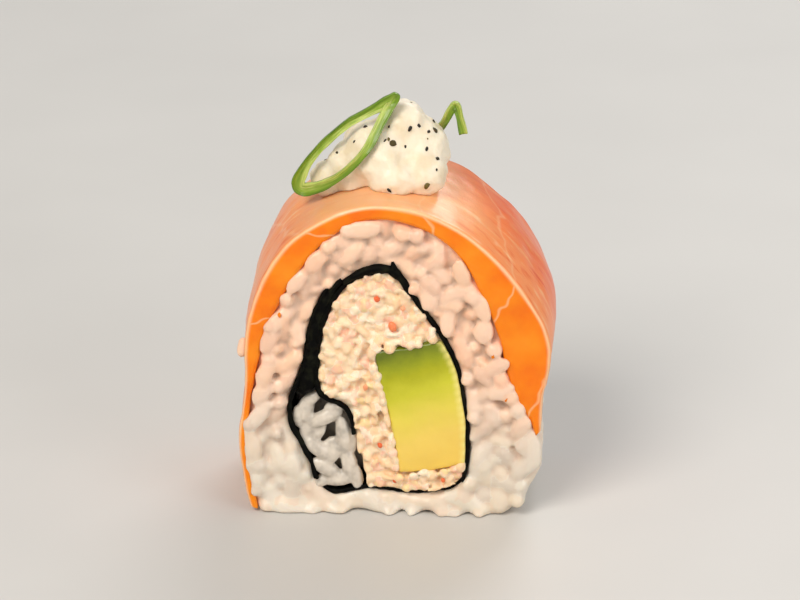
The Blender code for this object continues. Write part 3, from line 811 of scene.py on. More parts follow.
def avocado_material(colours):
    """Ripe avocado: buttery and smooth, deep green under the skin, fading to warm yellow.

    The stick keeps its "rim", the pale line along its skin side.
    """
    finish = Finish(
        "Ripe avocado flesh, knife cut",
        roughness=0.34,
        ior=1.46,
        glow=(0.3, (0.9, 0.8, 0.25), 1.0 * MM),
        coat=(0.15, 0.2),
    )
    # The stick stands a little aslant, so its colour follows the height less some of the way across.
    parts = finish.split(finish.place)
    slant = finish.maths("MULTIPLY_ADD", parts["X"], -0.36, parts["Z"])
    cloud = finish.noise(4 * MM, 6.0, Roughness=0.65)
    wander = finish.maths("MULTIPLY_ADD", cloud, 3.2 * MM, slant)
    tint = finish.ramp(
        finish.ranged(wander, 5.4 * MM, 28.2 * MM),
        (0.0, colours.avocado_yellow),
        (0.3, "#F0D062"),
        (0.5, "#E4D250"),
        (0.66, "#CFCB30"),
        (0.8, colours.avocado_green),
        (0.9, "#8C9606"),
        (0.985, colours.avocado_skin),
    )
    flesh = finish.mixed(finish.own("rim"), tint, "#F4E58A")
    return finish.coloured(flesh, (2.2 * MM, 0.06 * MM), (0.35 * MM, 0.012 * MM))


def salmon_material(colours):
    """Raw salmon: a wet, glowing orange where it is cut, and a paler, brushed flat side.

    The slice keeps "flesh", its own millimetres along, across and through the slice, and
    "skin" and "brim", which are 1 on the flat side and along the edge of the cut, where a painted
    highlight lies in the pale colour of fat.
    """
    finish = Finish(
        "Raw salmon, sliced thin",
        roughness=0.32,
        ior=1.43,
        specular=0.35,
        glow=(0.3, (1.0, 0.35, 0.12), 1.6 * MM),
        coat=(0.16, 0.18),
    )
    flesh, skin, brim = finish.own("flesh", "Vector"), finish.own("skin"), finish.own("brim")
    cloud = finish.noise(5 * MM, 3.0)
    cut = finish.ramp(cloud, (0.3, "#F07200"), (0.5, colours.salmon_cut), (0.7, "#FB9012"))
    # Muscle fibres: streaks much longer along the slice than across it.
    fibres = finish.noise(1.0, 4.0, finish.drawn_out(flesh, (1 / 9.0, 1 / 1.3, 1 / 1.3)))
    flat = finish.ramp(
        fibres,
        (0.3, colours.salmon_deep),
        (0.44, colours.salmon_skin),
        (0.56, colours.salmon_skin),
        (0.72, colours.salmon_pale),
    )
    # The flat side is palest at the crown of the roll, and a deeper orange towards its back and right.
    parts = finish.split(finish.place)
    crown = finish.ranged(parts["Z"], 42 * MM, 50 * MM, high=0.75, kind="SMOOTHSTEP")
    flat = finish.mixed(crown, flat, colours.salmon_pale)
    aside = finish.maths("MULTIPLY_ADD", parts["Y"], 1.6, parts["X"])
    lean = finish.ranged(aside, 4 * MM, 26 * MM, high=0.95, kind="SMOOTHSTEP")
    flat = finish.mixed(lean, flat, "#F2B57E", "MULTIPLY")
    # Seams of fat lie across the slice, about every 16 mm, slanting through it.
    inputs = {0: flesh, 1: (1.0, 0.35, 0.9)}
    across = finish.add("ShaderNodeVectorMath", "Value", inputs, operation="DOT_PRODUCT")
    swayed = finish.maths("MULTIPLY_ADD", finish.noise(6.0, 2.0, flesh), 7.0, across)
    seam = finish.ranged(finish.maths("PINGPONG", swayed, 8.0), 0.05, 0.4, low=0.45, high=0.0)
    seam = finish.maths("MULTIPLY", seam, finish.ranged(skin, 0.0, 1.0, low=1.0, high=0.55))
    # A painted highlight lies along the edge of the cut, the brim, in the same pale colour as the seams
    # of fat.
    pale = finish.maths("MAXIMUM", seam, finish.maths("MULTIPLY", brim, 0.75))
    salmon = finish.mixed(pale, finish.mixed(skin, cut, flat), colours.salmon_fat_and_edge_highlight)
    return finish.coloured(salmon, (1.6 * MM, 0.05 * MM), (0.4 * MM, 0.012 * MM))


def cheese_material(colours):
    """Whipped cream cheese: thick, white and close to matt, with light sinking into it."""
    finish = Finish(
        "Cream cheese, whipped and spooned",
        roughness=0.44,
        ior=1.45,
        glow=(0.4, (1.0, 0.85, 0.65), 1.2 * MM),
        coat=(0.08, 0.3),
    )
    tint = finish.ramp(finish.noise(3 * MM, 3.0), (0.35, "#EAD9BA"), (0.55, colours.cheese))
    return finish.coloured(tint, (0.8 * MM, 0.07 * MM), (0.25 * MM, 0.03 * MM))


def pepper_material(colours):
    """Cracked black pepper: rough dark shards, each from black to olive brown by its "shade"."""
    finish = Finish("Black pepper, cracked", roughness=0.6, ior=1.45)
    black, olive = colours.pepper, colours.pepper_olive
    tint = finish.ramp(finish.own("shade"), (0.0, black), (0.55, black), (1.0, olive))
    return finish.coloured(tint, (0.25 * MM, 0.06 * MM))


def scallion_material(colours):
    """Scallion leaf, cut in strips: fresh green with fine veins, paler on its inner side.

    The strip keeps "leaf": its own millimetres along, and shares of its width and depth.
    """
    finish = Finish(
        "Scallion leaf, cut in strips",
        roughness=0.32,
        ior=1.45,
        glow=(0.2, (0.5, 1.0, 0.2), 0.6 * MM),
        coat=(0.2, 0.15),
    )
    leaf = finish.own("leaf", "Vector")
    veins = finish.noise(1.0, 3.0, finish.drawn_out(leaf, (0.3, 5.0, 1.0)))
    side = finish.maths("MULTIPLY_ADD", veins, 1.3, finish.split(leaf)["Y"])
    tint = finish.ramp(
        finish.ranged(side, 0.45, 1.8),
        (0.05, "#869E38"),
        (0.25, colours.scallion_light),
        (0.5, "#8AA630"),
        (0.75, colours.scallion),
        (1.0, "#4F700F"),
    )
    finish.raised(veins, 0.14 * MM)
    return finish.coloured(tint)


def floor_material(colours):
    """A plain pale board under the light: smooth matt paint."""
    finish = Finish("Pale painted board", roughness=0.55)
    cloud = finish.noise(40 * MM, 2.0)
    return finish.coloured(
        finish.ramp(cloud, (0.3, colours.floor), (0.7, scaled(colours.floor, 1.04)))
    )


def linked(name, data):
    """A new object in the scene."""
    obj = bpy.data.objects.new(name, data)
    bpy.context.scene.collection.objects.link(obj)
    return obj


def evaluated(obj):
    """The object's mesh as its modifiers leave it, with its place applied, and the object removed."""
    bpy.context.view_layer.update()
    graph = bpy.context.evaluated_depsgraph_get()
    mesh = bpy.data.meshes.new_from_object(obj.evaluated_get(graph))
    mesh.transform(obj.matrix_world)
    bpy.data.objects.remove(obj)
    return mesh


def finished(name, mesh, material, slot, *replaced):
    """Makes a mesh a piece of the slice: its finish, its body and the nodes that it stands for."""
    if not len(mesh.polygons):
        raise RuntimeError(f"{name} has no faces")
    mesh.name = name
    mesh.materials.clear()
    mesh.materials.append(material)
    mesh.shade_smooth()
    piece = linked(name, mesh)
    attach(piece, "root")
    if replaced:
        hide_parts(*replaced)
    return piece


@contextmanager
def edited(mesh):
    """Opens a mesh as a bmesh, and writes it back at the end."""
    form = bmesh.new()
    form.from_mesh(mesh)
    yield form
    form.to_mesh(mesh)
    form.free()


def rows(items, name, width=3, kind=np.float32):
    """One property of every item, as rows of numbers."""
    values = np.empty(len(items) * width, kind)
    items.foreach_get(name, values)
    return values.reshape(-1, width)


def move_points(mesh, points):
    """Moves every point of the mesh, each to its row's place."""
    mesh.vertices.foreach_set("co", points.ravel())
    mesh.update()


def strewing_tree():
    """Geometry Nodes that lay a shape on each place, and leave every copy a little different.

    Each place has its "turn" and "size". A copy's "shade" is a number of its own from 0 to 1.
    """
    name = "Strew pieces"
    if name in bpy.data.node_groups:
        return bpy.data.node_groups[name]
    tree = bpy.data.node_groups.new(name, "GeometryNodeTree")
    for socket, kind in (
        ("Places", "Geometry"),
        ("Shape", "Object"),
        ("Bump size", "Float"),
        ("Bump height", "Float"),
        ("Seed", "Int"),
        ("Finish", "Material"),
    ):
        tree.interface.new_socket(socket, in_out="INPUT", socket_type=f"NodeSocket{kind}")
    tree.interface.new_socket("Pieces", in_out="OUTPUT", socket_type="NodeSocketGeometry")
    given = add_node(tree, "NodeGroupInput").outputs
    nodes = Nodes(tree)

    def own(attribute, kind):
        inputs = {"Name": attribute}
        return nodes.add("GeometryNodeInputNamedAttribute", "Attribute", inputs, data_type=kind)

    laid = nodes.add(
        "GeometryNodeInstanceOnPoints",
        "Instances",
        {
            "Points": given["Places"],
            "Instance": nodes.add("GeometryNodeObjectInfo", "Geometry", {"Object": given["Shape"]}),
            "Rotation": own("turn", "QUATERNION"),
            "Scale": own("size", "FLOAT_VECTOR"),
        },
    )
    chance = nodes.add(
        "FunctionNodeRandomValue", RANDOM_NUMBER, {"Seed": given["Seed"]}, data_type="FLOAT"
    )
    shaded = nodes.add(
        "GeometryNodeStoreNamedAttribute",
        "Geometry",
        {"Geometry": laid, "Name": "shade", "Value": chance},
        data_type="FLOAT",
        domain="INSTANCE",
    )
    real = nodes.add("GeometryNodeRealizeInstances", "Geometry", {"Geometry": shaded})
    # The noise has a fourth direction, along which each copy lies at a place of its own.
    bumps = nodes.add(
        "ShaderNodeTexNoise",
        "Fac",
        {
            "Vector": nodes.add("GeometryNodeInputPosition", "Position"),
            "W": nodes.maths("MULTIPLY", own("shade", "FLOAT"), 50.0),
            "Scale": nodes.maths("DIVIDE", 1.0, given["Bump size"]),
            "Detail": 1.0,
        },
        noise_dimensions="4D",
    )
    height = nodes.maths("MULTIPLY", nodes.maths("SUBTRACT", bumps, 0.5), given["Bump height"])
    inputs = {0: nodes.add("GeometryNodeInputNormal", "Normal"), "Scale": height}
    offset = nodes.add("ShaderNodeVectorMath", "Vector", inputs, operation="SCALE")
    inputs = {"Geometry": real, "Offset": offset}
    uneven = nodes.add("GeometryNodeSetPosition", "Geometry", inputs)
    inputs = {"Geometry": uneven, "Material": given["Finish"]}
    finish = nodes.add("GeometryNodeSetMaterial", "Geometry", inputs)
    add_node(tree, "NodeGroupOutput", {"Pieces": finish})
    return tree


def facing(along, out):
    """The turn that lays X along one direction and Z as near as it can to another."""
    x = Vector(along).normalized()
    y = Vector(out).cross(x)
    if y.length < 0.01:
        y = x.orthogonal()
    y.normalize()
    return Matrix((x, y, x.cross(y))).transposed().to_quaternion()


def store(mesh, name, values):
    """Keeps a number, a vector or a turn for each point of the mesh."""
    values = np.asarray(values, np.float32).reshape(len(mesh.vertices), -1)
    kinds = {1: ("FLOAT", "value"), 3: ("FLOAT_VECTOR", "vector"), 4: ("QUATERNION", "value")}
    kind, field = kinds[values.shape[1]]
    mesh.attributes.new(name, kind, "POINT").data.foreach_set(field, values.ravel())


def grain_shape(segments, rings):
    """A unit grain, long along X once it is scaled."""
    mesh = bpy.data.meshes.new("grain")
    turn = Matrix.Rotation(math.pi / 2, 4, "Y")
    with edited(mesh) as form:
        bmesh.ops.create_uvsphere(
            form, u_segments=segments, v_segments=rings, radius=0.5, matrix=turn
        )
    return linked("grain", mesh)


def strewn(name, places, shape, finish, bumps, seed):
    """Pieces of one shape laid on their places, as one plain mesh."""
    if not places:
        raise RuntimeError(f"{name} found no places")
    points = bpy.data.meshes.new(name)
    points.from_pydata([place.at for place in places], [], [])
    store(points, "turn", [facing(place.along, place.out)[:] for place in places])
    store(points, "size", [place.size for place in places])
    obj = linked(name, points)
    grain = grain_shape(*shape)
    modifier = obj.modifiers.new("Strew pieces", "NODES")
    modifier.node_group = strewing_tree()
    values = {
        "Shape": grain,
        "Bump size": bumps[0],
        "Bump height": bumps[1],
        "Seed": seed,
        "Finish": finish,
    }
    for socket in modifier.node_group.interface.items_tree:
        if socket.name in values:
            modifier[socket.identifier] = values[socket.name]
    mesh = evaluated(obj)
    bpy.data.objects.remove(grain)
    return mesh


def joined(name, meshes):
    """Several meshes as one, with each part still closed on its own."""
    made = bpy.data.meshes.new(name)
    with edited(made) as form:
        for mesh in meshes:
            form.from_mesh(mesh)
            bpy.data.meshes.remove(mesh)
    return made


def without_specks(mesh):
    """Takes out the loose bits that fusing and cutting leave behind."""
    with edited(mesh) as form:
        specks = []
        for start in form.verts:
            if start.tag:
                continue
            start.tag = True
            island = [start]
            for vert in island:
                for other in (edge.other_vert(vert) for edge in vert.link_edges):
                    if not other.tag:
                        other.tag = True
                        island.append(other)
            if len(island) < FEWEST_POINTS:
                specks += island
        bmesh.ops.delete(form, geom=specks, context="VERTS")


def grown_together(meshes, places, draw, voxel, smoothing=1):
    """The meshes fused where they touch. Each point takes the "shade" of the piece it is nearest to."""
    mesh = fleshed(linked("fused", joined("fused", meshes)), voxel, smoothing)
    without_specks(mesh)
    shades = [draw.random() for _ in places]
    tree = KDTree(len(GRAIN_SHARES) * len(places))
    for index, place in enumerate(places):
        reach = Vector(place.along).normalized() * place.size[0]
        for share in GRAIN_SHARES:
            tree.insert(Vector(place.at) + reach * share, index)
    tree.balance()
    store(mesh, "shade", [shades[tree.find(vert.co)[1]] for vert in mesh.vertices])
    return mesh


def hollowed(mesh):
    """Presses the foot smooth, and keeps as "hollow" how deep each point is in a gap."""
    points, normals = rows(mesh.vertices, "co"), rows(mesh.vertices, "normal")
    ends = rows(mesh.edges, "vertices", 2, np.int32)
    near, far = np.hstack([ends.T, ends[:, ::-1].T])
    neighbours = np.bincount(near, minlength=len(points))
    even = points
    for _ in range(HOLLOW_ROUNDS):
        sums = [np.bincount(near, even[far, axis], len(points)) for axis in range(3)]
        even = (np.array(sums) / neighbours).T
    pressed = (FOOT_PRESSED * np.clip(1 - points[:, 2] / FOOT_TOP, 0, 1))[:, None]
    moved = (even - points) * (1 - pressed)
    move_points(mesh, even - moved)
    store(mesh, "hollow", np.clip((moved * normals).sum(1) / HOLLOW_DEPTH, 0, 1))


def held_in(mesh):
    """Presses what stands further out than the cut faces, and flattens what is below the base."""
    points = rows(mesh.vertices, "co")
    beyond = np.maximum(np.abs(points[:, 1]) - RICE_PRESS_DEPTH, 0.0)
    points[:, 1] -= np.sign(points[:, 1]) * beyond * (1 - PRESS_SHARE)
    points[:, 2] = np.maximum(points[:, 2], 0.0)
    move_points(mesh, points)


def scattered(region, spacing, margin, draw):
    """Evenly scattered places in a region, by throwing darts that keep their distance."""
    low = region.outline.min(0) - max(0.0, -margin)
    high = region.outline.max(0) + max(0.0, -margin)
    kept = np.empty((0, 2))
    for _ in range(DARTS):
        point = np.array([draw.uniform(low[0], high[0]), draw.uniform(low[1], high[1])])
        if len(kept) and np.hypot(*(kept - point).T).min() < spacing:
            continue
        if region.room(point) >= margin:
            kept = np.vstack([kept, point])
    return kept


def lie_of(region, point, length, width, overlap, draw):
    """A direction on the face in which a piece of this size stays in the region, or None."""
    reach = (length - width) / 2
    start = draw.uniform(0, math.pi)
    for turn in range(LIES):
        angle = start + turn * math.pi / LIES
        way = np.array([math.cos(angle), math.sin(angle)])
        ends = (point + way * reach * share for share in (-1, 1))
        if all(region.room(end) >= width / 2 - overlap for end in ends):
            return way
    return None


def strewn_face(region, side, face, kind, draw):
    """Places on one cut face, each sunk in it so that only the piece's crown stands proud."""
    places = []
    for point in scattered(region, kind.spacing, kind.width[0] / 2 - kind.overlap, draw):
        wide = draw.uniform(*kind.width)
        long = draw.uniform(*kind.length)
        dip = draw.uniform(-kind.tilt, kind.tilt)
        if draw.random() < kind.end_on:
            dip = math.pi / 2 - abs(dip)
        shown = wide + (long - wide) * abs(math.cos(dip))
        way = lie_of(region, point, shown, wide, kind.overlap, draw)
        if way is None:
            # There is only room for a piece seen end on.
            dip = math.pi / 2 - END_ON_LEAN
            way = np.array([1.0, 0.0])
        thick = wide * kind.flat
        reach = (thick + (long - thick) * abs(math.sin(dip))) / 2
        crown = face + draw.uniform(*kind.proud)
        for border, rise in zip((region.outline, region.hole), kind.brims):
            if rise and clearance(border, point) < wide / 2:
                crown = face + rise
        at = (point[0], side * (crown - reach), point[1])
        along = (way[0] * math.cos(dip), math.sin(dip), way[1] * math.cos(dip))
        places.append(Place(at, along, (0.0, side, 0.0), (long, wide, thick)))
    return places


def strewn_flank(path, face, kind, draw):
    """Places on a side of the roll, given as a path that the rice lies to the right of."""
    along = lengths_along(path)
    out = -rightward(path)
    kept = np.empty((0, 2))
    places = []
    for _ in range(FLANK_DARTS):
        point = np.array([draw.uniform(0, along[-1]), draw.uniform(-face, face)])
        if len(kept) and np.hypot(*(kept - point).T).min() < kind.spacing:
            continue
        kept = np.vstack([kept, point])
        x, z, out_x, out_z = (np.interp(point[0], along, values) for values in (*path.T, *out.T))
        wide = draw.uniform(*kind.width)
        long = draw.uniform(*kind.length)
        thick = wide * kind.flat
        swing = draw.gauss(0, FLANK_SWING)
        way = (-out_z * math.sin(swing), math.cos(swing), out_x * math.sin(swing))
        end = face - (long / 2) * abs(math.cos(swing))
        sunk = thick / 2 - draw.uniform(*kind.proud)
        up = max(z - out_z * sunk, thick * FLANK_REST)
        at = (x - out_x * sunk, min(max(point[1], -end), end), up)
        places.append(Place(at, way, (out_x, 0.0, out_z), (long, wide, thick)))
    return places


def in_metres(*lengths):
    """Lengths given in millimetres."""
    return tuple(length * MM for length in lengths)


def slanting(degrees, back):
    """A direction at this angle on the cut face, and partly to the back."""
    angle = math.radians(degrees)
    return (math.cos(angle), back, math.sin(angle))


def slab(name, outline, half_depth):
    """A flat outline on the cut face, given depth along Y, as a closed mesh object."""
    curve = bpy.data.curves.new(name, "CURVE")
    curve.dimensions = "2D"
    curve.fill_mode = "BOTH"
    curve.extrude = half_depth
    spline = curve.splines.new("POLY")
    spline.points.add(len(outline) - 1)
    for point, (x, z) in zip(spline.points, outline):
        point.co = (x, z, 0.0, 1.0)
    spline.use_cyclic_u = True
    obj = linked(name, curve)
    obj.rotation_euler = (math.pi / 2, 0.0, 0.0)
    mesh = evaluated(obj)
    with edited(mesh) as form:
        bmesh.ops.remove_doubles(form, verts=form.verts, dist=WELD)
    return linked(name, mesh)


def combined(obj, operation, other):
    """The object cut by another, or trimmed to it, and the other removed."""
    modifier = obj.modifiers.new(operation.title(), "BOOLEAN")
    modifier.operation = operation
    modifier.solver = "EXACT"
    modifier.object = other
    made = linked(obj.name, evaluated(obj))
    bpy.data.objects.remove(other)
    return made


def fleshed(obj, voxel, smoothing):
    """The object's mesh in even small faces, with its edges softened."""
    remesh = obj.modifiers.new("Even faces", "REMESH")
    remesh.mode = "VOXEL"
    remesh.voxel_size = voxel
    soften = obj.modifiers.new("Soften", "SMOOTH")
    soften.factor = 0.5
    soften.iterations = smoothing
    return evaluated(obj)


def ruffled(mesh, *layers):
    """Moves the mesh in and out by noise: each layer is the size of its bumps and their height."""
    normals = [vert.normal.copy() for vert in mesh.vertices]
    for vert, normal in zip(mesh.vertices, normals):
        at = vert.co.copy()
        for size, height in layers:
            vert.co += normal * height * noise.noise(at / size)
    mesh.update()


def lofted(name, rings, looped=False, **attributes):
    """A skin over rings of points. It is joined end to end if it is looped, or else it is capped.

    Each attribute holds a number or a vector for every point of every ring.
    """
    rings = np.asarray(rings, float)
    count, around = rings.shape[:2]
    faces = []
    for i in range(count if looped else count - 1):
        for j in range(around):
            k = (j + 1) % around
            near, far = i * around, (i + 1) % count * around
            faces.append((near + j, near + k, far + k, far + j))
    if not looped:
        faces.append(tuple(range(around)))
        faces.append(tuple(range(count * around - 1, (count - 1) * around - 1, -1)))
    mesh = bpy.data.meshes.new(name)
    mesh.from_pydata(rings.reshape(-1, 3).tolist(), [], faces)
    for label, values in attributes.items():
        store(mesh, label, values)
    with edited(mesh) as form:
        bmesh.ops.recalc_face_normals(form, faces=form.faces)
    return mesh


def rice_face():
    """How far back the rice's face lies, which its grains stand out from."""
    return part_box("outer_rice")[1].y - RICE_INSET


class URAMAKI_OT_rice(Operator):
    """Packs the outer ring with sticky cooked grains round a core"""

    bl_idname = "uramaki.rice"
    bl_label = "Outer rice"

    def execute(self, context):
        sizes = context.scene.uramaki_rice
        draw = random.Random(sizes.seed)
        face = rice_face()
        counts = np.arange((len(ROLL_EDGE) - 1) * OUTLINE_STEPS + 1) / OUTLINE_STEPS
        swell = np.where(counts < BARE_FROM, RICE_SWELL, -RICE_SWELL)[:, None]
        core = slab("core", roll_outline(swell), face - RICE_CORE_SUNK)
        core = evaluated(combined(core, "DIFFERENCE", slab("hole", hole_outline(), 2 * face)))
        grains = Strewing(
            length=(0.64 * sizes.grain_length, sizes.grain_length),
            width=(0.8 * sizes.grain_width, sizes.grain_width),
            flat=0.9,
            proud=(0.0, sizes.proud),
            brims=(1.75 * MM, None),
            spacing=sizes.spacing,
            overlap=1.2 * MM,
            tilt=0.4,
            end_on=0.22,
        )
        region = Region(roll_outline(), hole_outline(NORI_CLEAR))
        places = []
        for side in (FRONT, BACK):
            places += strewn_face(region, side, face, grains, draw)
        edge = smooth_path(ROLL_EDGE, FLANK_STEPS)[:, :2] * MM
        base = np.linspace(*BASE, BASE_POINTS) * MM
        for path in (edge[int(BARE_FROM * FLANK_STEPS) :], base):
            places += strewn_flank(path, face, grains, draw)
        for x, y, z, angle, long, wide in STRAY_GRAINS:
            size = in_metres(long, wide, wide)
            places.append(Place(in_metres(x, y, z), slanting(angle, STRAY_TILT), (0.0, y, 0.0), size))
        finish = rice_material(sizes)
        pieces = strewn("grains", places, RICE_SHAPE, finish, RICE_BUMPS, sizes.seed)
        mesh = grown_together([core, pieces], places, draw, RICE_VOXEL)
        ruffled(mesh, RICE_RUFFLE)
        held_in(mesh)
        hollowed(mesh)
        finished("rice_grains", mesh, finish, "rice", "outer_rice")
        return {"FINISHED"}


class URAMAKI_OT_trapped_rice(Operator):
    """Lays wet grains, with dark gaps, in the pocket between the laps of nori"""

    bl_idname = "uramaki.trapped_rice"
    bl_label = "Trapped rice"

    def execute(self, context):
        sizes = context.scene.uramaki_rice
        draw = random.Random(sizes.seed + 1)
        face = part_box("trapped_rice")[1].y - TRAPPED_INSET
        region = Region(trapped_outline())
        core = slab("core", region.outline, face - TRAPPED_CORE_SUNK)
        core = fleshed(core, TRAPPED_CORE_VOXEL, smoothing=3)
        ruffled(core, TRAPPED_CORE_RUFFLE)
        finish = trapped_rice_material(sizes)
        finished("trapped_core", core, finish, "trapped_rice", "trapped_rice")
        places = []
        for x, z, angle, long, wide, sunk in TRAPPED_FRONT:
            along = slanting(angle, draw.uniform(-TRAPPED_TILT, TRAPPED_TILT))
            at = (x * MM, -(face + (TRAPPED_PROUD - sunk - wide / 2) * MM), z * MM)
            places.append(Place(at, along, AHEAD, in_metres(long, wide, 0.9 * wide)))
        grains = Strewing(
            length=in_metres(4.4, 6.0),
            width=in_metres(2.0, 2.4),
            flat=0.9,
            proud=in_metres(-0.2, TRAPPED_PROUD),
            spacing=2.1 * MM,
            overlap=0.5 * MM,
            tilt=0.3,
            end_on=0.15,
        )
        places += strewn_face(region, BACK, face, grains, draw)
        pieces = strewn("grains", places, RICE_SHAPE, finish, TRAPPED_BUMPS, sizes.seed + 1)
        mesh = grown_together([pieces], places, draw, TRAPPED_VOXEL)
        finished("trapped_grains", mesh, finish, "trapped_rice", "trapped_rice")
        return {"FINISHED"}


def nori_strip(route, half_depth, seed):
    """A sheet on edge along a route of (across, up, thickness), with torn, uneven edges."""
    tear_size, ragged = NORI_TEARS
    swell_size, swell = NORI_SWELLS
    rings = []
    for (x, z, thick), (out_x, out_z) in zip(route, rightward(route[:, :2])):
        low = 1 if z < NORI_SUNK_BELOW else 0
        ends = []
        for side in (FRONT, BACK):
            tear = noise.noise(Vector((x, side * seed * MM, z)) / tear_size)
            ends.append(side * (half_depth - low * NORI_SUNK + ragged * tear))
        fullness = 1 + swell * noise.noise(Vector((x, seed * MM, z)) / swell_size)
        reach = thick * fullness * NORI_FULLNESS / 2
        front, back = ends
        across = np.linspace(front + NORI_SHOULDER * reach, back - NORI_SHOULDER * reach, NORI_SIDES)
        ring = [(x, front - NORI_NOSE * reach, z)]
        ring += [(x + out_x * reach, y, z + out_z * reach) for y in across]
        ring.append((x, back + NORI_NOSE * reach, z))
        ring += [(x - out_x * reach, y, z - out_z * reach) for y in across[::-1]]
        rings.append(ring)
    return lofted("strip", rings)


class URAMAKI_OT_nori(Operator):
    """Winds the torn-edged sheet of nori round the filling, doubled at the left"""

    bl_idname = "uramaki.nori"
    bl_label = "Nori"

    def execute(self, context):
        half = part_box("nori")[1].y - NORI_SET_BACK
        strips = [
            nori_strip(smooth_path(route, steps) * MM, half + rise * MM, seed)
            for route, steps, rise, seed in NORI_STRIPS
        ]
        mesh = joined("nori", strips)
        ruffled(mesh, NORI_RUFFLE)
        finish = nori_material(context.scene.uramaki_filling)
        finished("nori_wrap", mesh, finish, "nori", "nori")
        return {"FINISHED"}


class URAMAKI_OT_crab_salad(Operator):
    """Fills the roll with crumbs and shreds of dressed crab over a soft core"""

    bl_idname = "uramaki.crab_salad"
    bl_label = "Crab salad"

    def execute(self, context):
        sizes = context.scene.uramaki_filling
        seed = context.scene.uramaki_rice.seed
        draw = random.Random(seed + 2)
        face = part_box("crab_salad")[1].y - SALAD_INSET
        region = Region(filling_outline(SALAD_SPARE), avocado_outline())
        core = slab("core", filling_outline(), face - SALAD_CORE_SUNK)
        middle = region.hole.mean(0)
        room = slab("room", middle + (region.hole - middle) * AVOCADO_ROOM, 2 * face)
        core = evaluated(combined(core, "DIFFERENCE", room))
        crumbs = Strewing(
            length=(0.5 * sizes.crumb, sizes.crumb),
            width=(0.45 * sizes.crumb, 0.8 * sizes.crumb),
            flat=0.85,
            proud=(0.0, SALAD_PROUD),
            brims=(None, SALAD_BRIM),
            spacing=sizes.crumb_spacing,
            overlap=0.55 * MM,
            tilt=0.6,
            end_on=0.1,
        )
        shreds = Strewing(
            length=(0.5 * sizes.shred, sizes.shred),
            width=in_metres(0.6, 1.0),
            proud=in_metres(0.45, 0.85),
            brims=(None, SALAD_BRIM),
            spacing=2.4 * MM,
            overlap=0.5 * MM,
            tilt=0.3,
        )
        places = []
        for side in (FRONT, BACK):
            for kind in (crumbs, shreds):
                places += strewn_face(region, side, face, kind, draw)
        salad = salad_material(
            "Crab salad, bound with mayonnaise",
            (0.0, "#FBE2C2"),
            (0.3, sizes.salad),
            (0.5, "#F3CFA2"),
            (0.66, "#FCE9CF"),
            (0.84, sizes.salad_pink),
            (1.0, "#F4D8A0"),
        )
        pieces = strewn("crumbs", places, CRUMB_SHAPE, salad, CRUMB_BUMPS, seed + 2)
        mesh = grown_together([core, pieces], places, draw, SALAD_VOXEL, smoothing=2)
        ruffled(mesh, SALAD_RUFFLE)
        finished("salad_crumbs", mesh, salad, "crab_salad", "crab_salad")
        red = salad_material(
            "Crab skin, dyed red", (0.0, sizes.red_bits), (0.5, "#F08A58"), (1.0, "#F6AE84")
        )
        places = []
        for x, z, size in RED_BITS_AT_FRONT:
            long = size * MM
            at = (x * MM, -(face + SALAD_PROUD - long / 4), z * MM)
            along = (draw.uniform(-1, 1), 0.0, 1.0)
            places.append(Place(at, along, AHEAD, (long, 0.8 * long, 0.6 * long)))
        bits = Strewing(
            length=in_metres(0.7, 1.6),
            width=in_metres(0.6, 0.9),
            proud=in_metres(0.6, 0.8),
            spacing=4.4 * MM,
            overlap=0.0,
            tilt=0.2,
        )
        places += strewn_face(region, BACK, face, bits, draw)
        mesh = strewn("bits", places, CRUMB_SHAPE, red, RED_BIT_BUMPS, seed + 4)
        finished("salad_red_bits", mesh, red, "crab_salad", "crab_salad")
        return {"FINISHED"}


class URAMAKI_OT_avocado(Operator):
    """Cuts the stick of avocado, trimmed by the nori, with softened edges"""

    bl_idname = "uramaki.avocado"
    bl_label = "Avocado"

    def execute(self, context):
        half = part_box("avocado")[1].y
        stick = slab("stick", avocado_outline(), half)
        stick = combined(stick, "INTERSECT", slab("wrap", filling_outline(), 2 * half))
        mesh = fleshed(stick, AVOCADO_VOXEL, AVOCADO_SMOOTHING)
        ruffled(mesh, *AVOCADO_RUFFLES)
        side = nori_sides(*AVOCADO_SKIN_SIDE)[0]
        reach = [
            np.hypot(side[:, 0] - vert.co.x, side[:, 1] - vert.co.z).min() for vert in mesh.vertices
        ]
        store(mesh, "rim", np.clip(1 - np.array(reach) / AVOCADO_RIM, 0, 1))
        finish = avocado_material(context.scene.uramaki_filling)
        finished("avocado_stick", mesh, finish, "avocado", "avocado")
        return {"FINISHED"}


def slice_section(half, thick):
    """The salmon's section, from its inner front corner: (depth, height, skin, brim) of each point.

    Its front, outside, back and bed follow each other, with rounded corners between them.
    """
    outer, inner = (min(share * thick, most) for share, most in (OUTER_CORNER, INNER_CORNER))
    section = []

    def corner(y, z, radius, start, marks):
        for index, (skin, brim) in enumerate(marks):
            turn = math.radians(start - 90 * index / (len(marks) - 1))
            section.append((y + radius * math.cos(turn), z + radius * math.sin(turn), skin, brim))

    def run(start, end, count, skin):
        for share in np.linspace(0, 1, count + 2)[1:-1]:
            y, z = (a + (b - a) * share for a, b in zip(start, end))
            section.append((y, z, skin, 0.0))

    # The brim rises round the outer corners of the cut, where the painted highlight lies.
    turned = [
        (share, math.sin(math.pi * share) ** 3) for share in np.linspace(0, 1, CORNER_POINTS)
    ]
    plain = [(0.0, 0.0)] * 3
    corner(-half + inner, inner, inner, 270, plain)
    run((-half, inner), (-half, thick - outer), CUT_POINTS, 0.0)
    corner(-half + outer, thick - outer, outer, 180, turned)
    run((-half + outer, thick), (half - outer, thick), OUTSIDE_POINTS, 1.0)
    corner(half - outer, thick - outer, outer, 90, turned[::-1])
    run((half, thick - outer), (half, inner), CUT_POINTS, 0.0)
    corner(half - inner, inner, inner, 0, plain)
    run((half - inner, 0.0), (-half + inner, 0.0), BED_POINTS, 0.0)
    return section


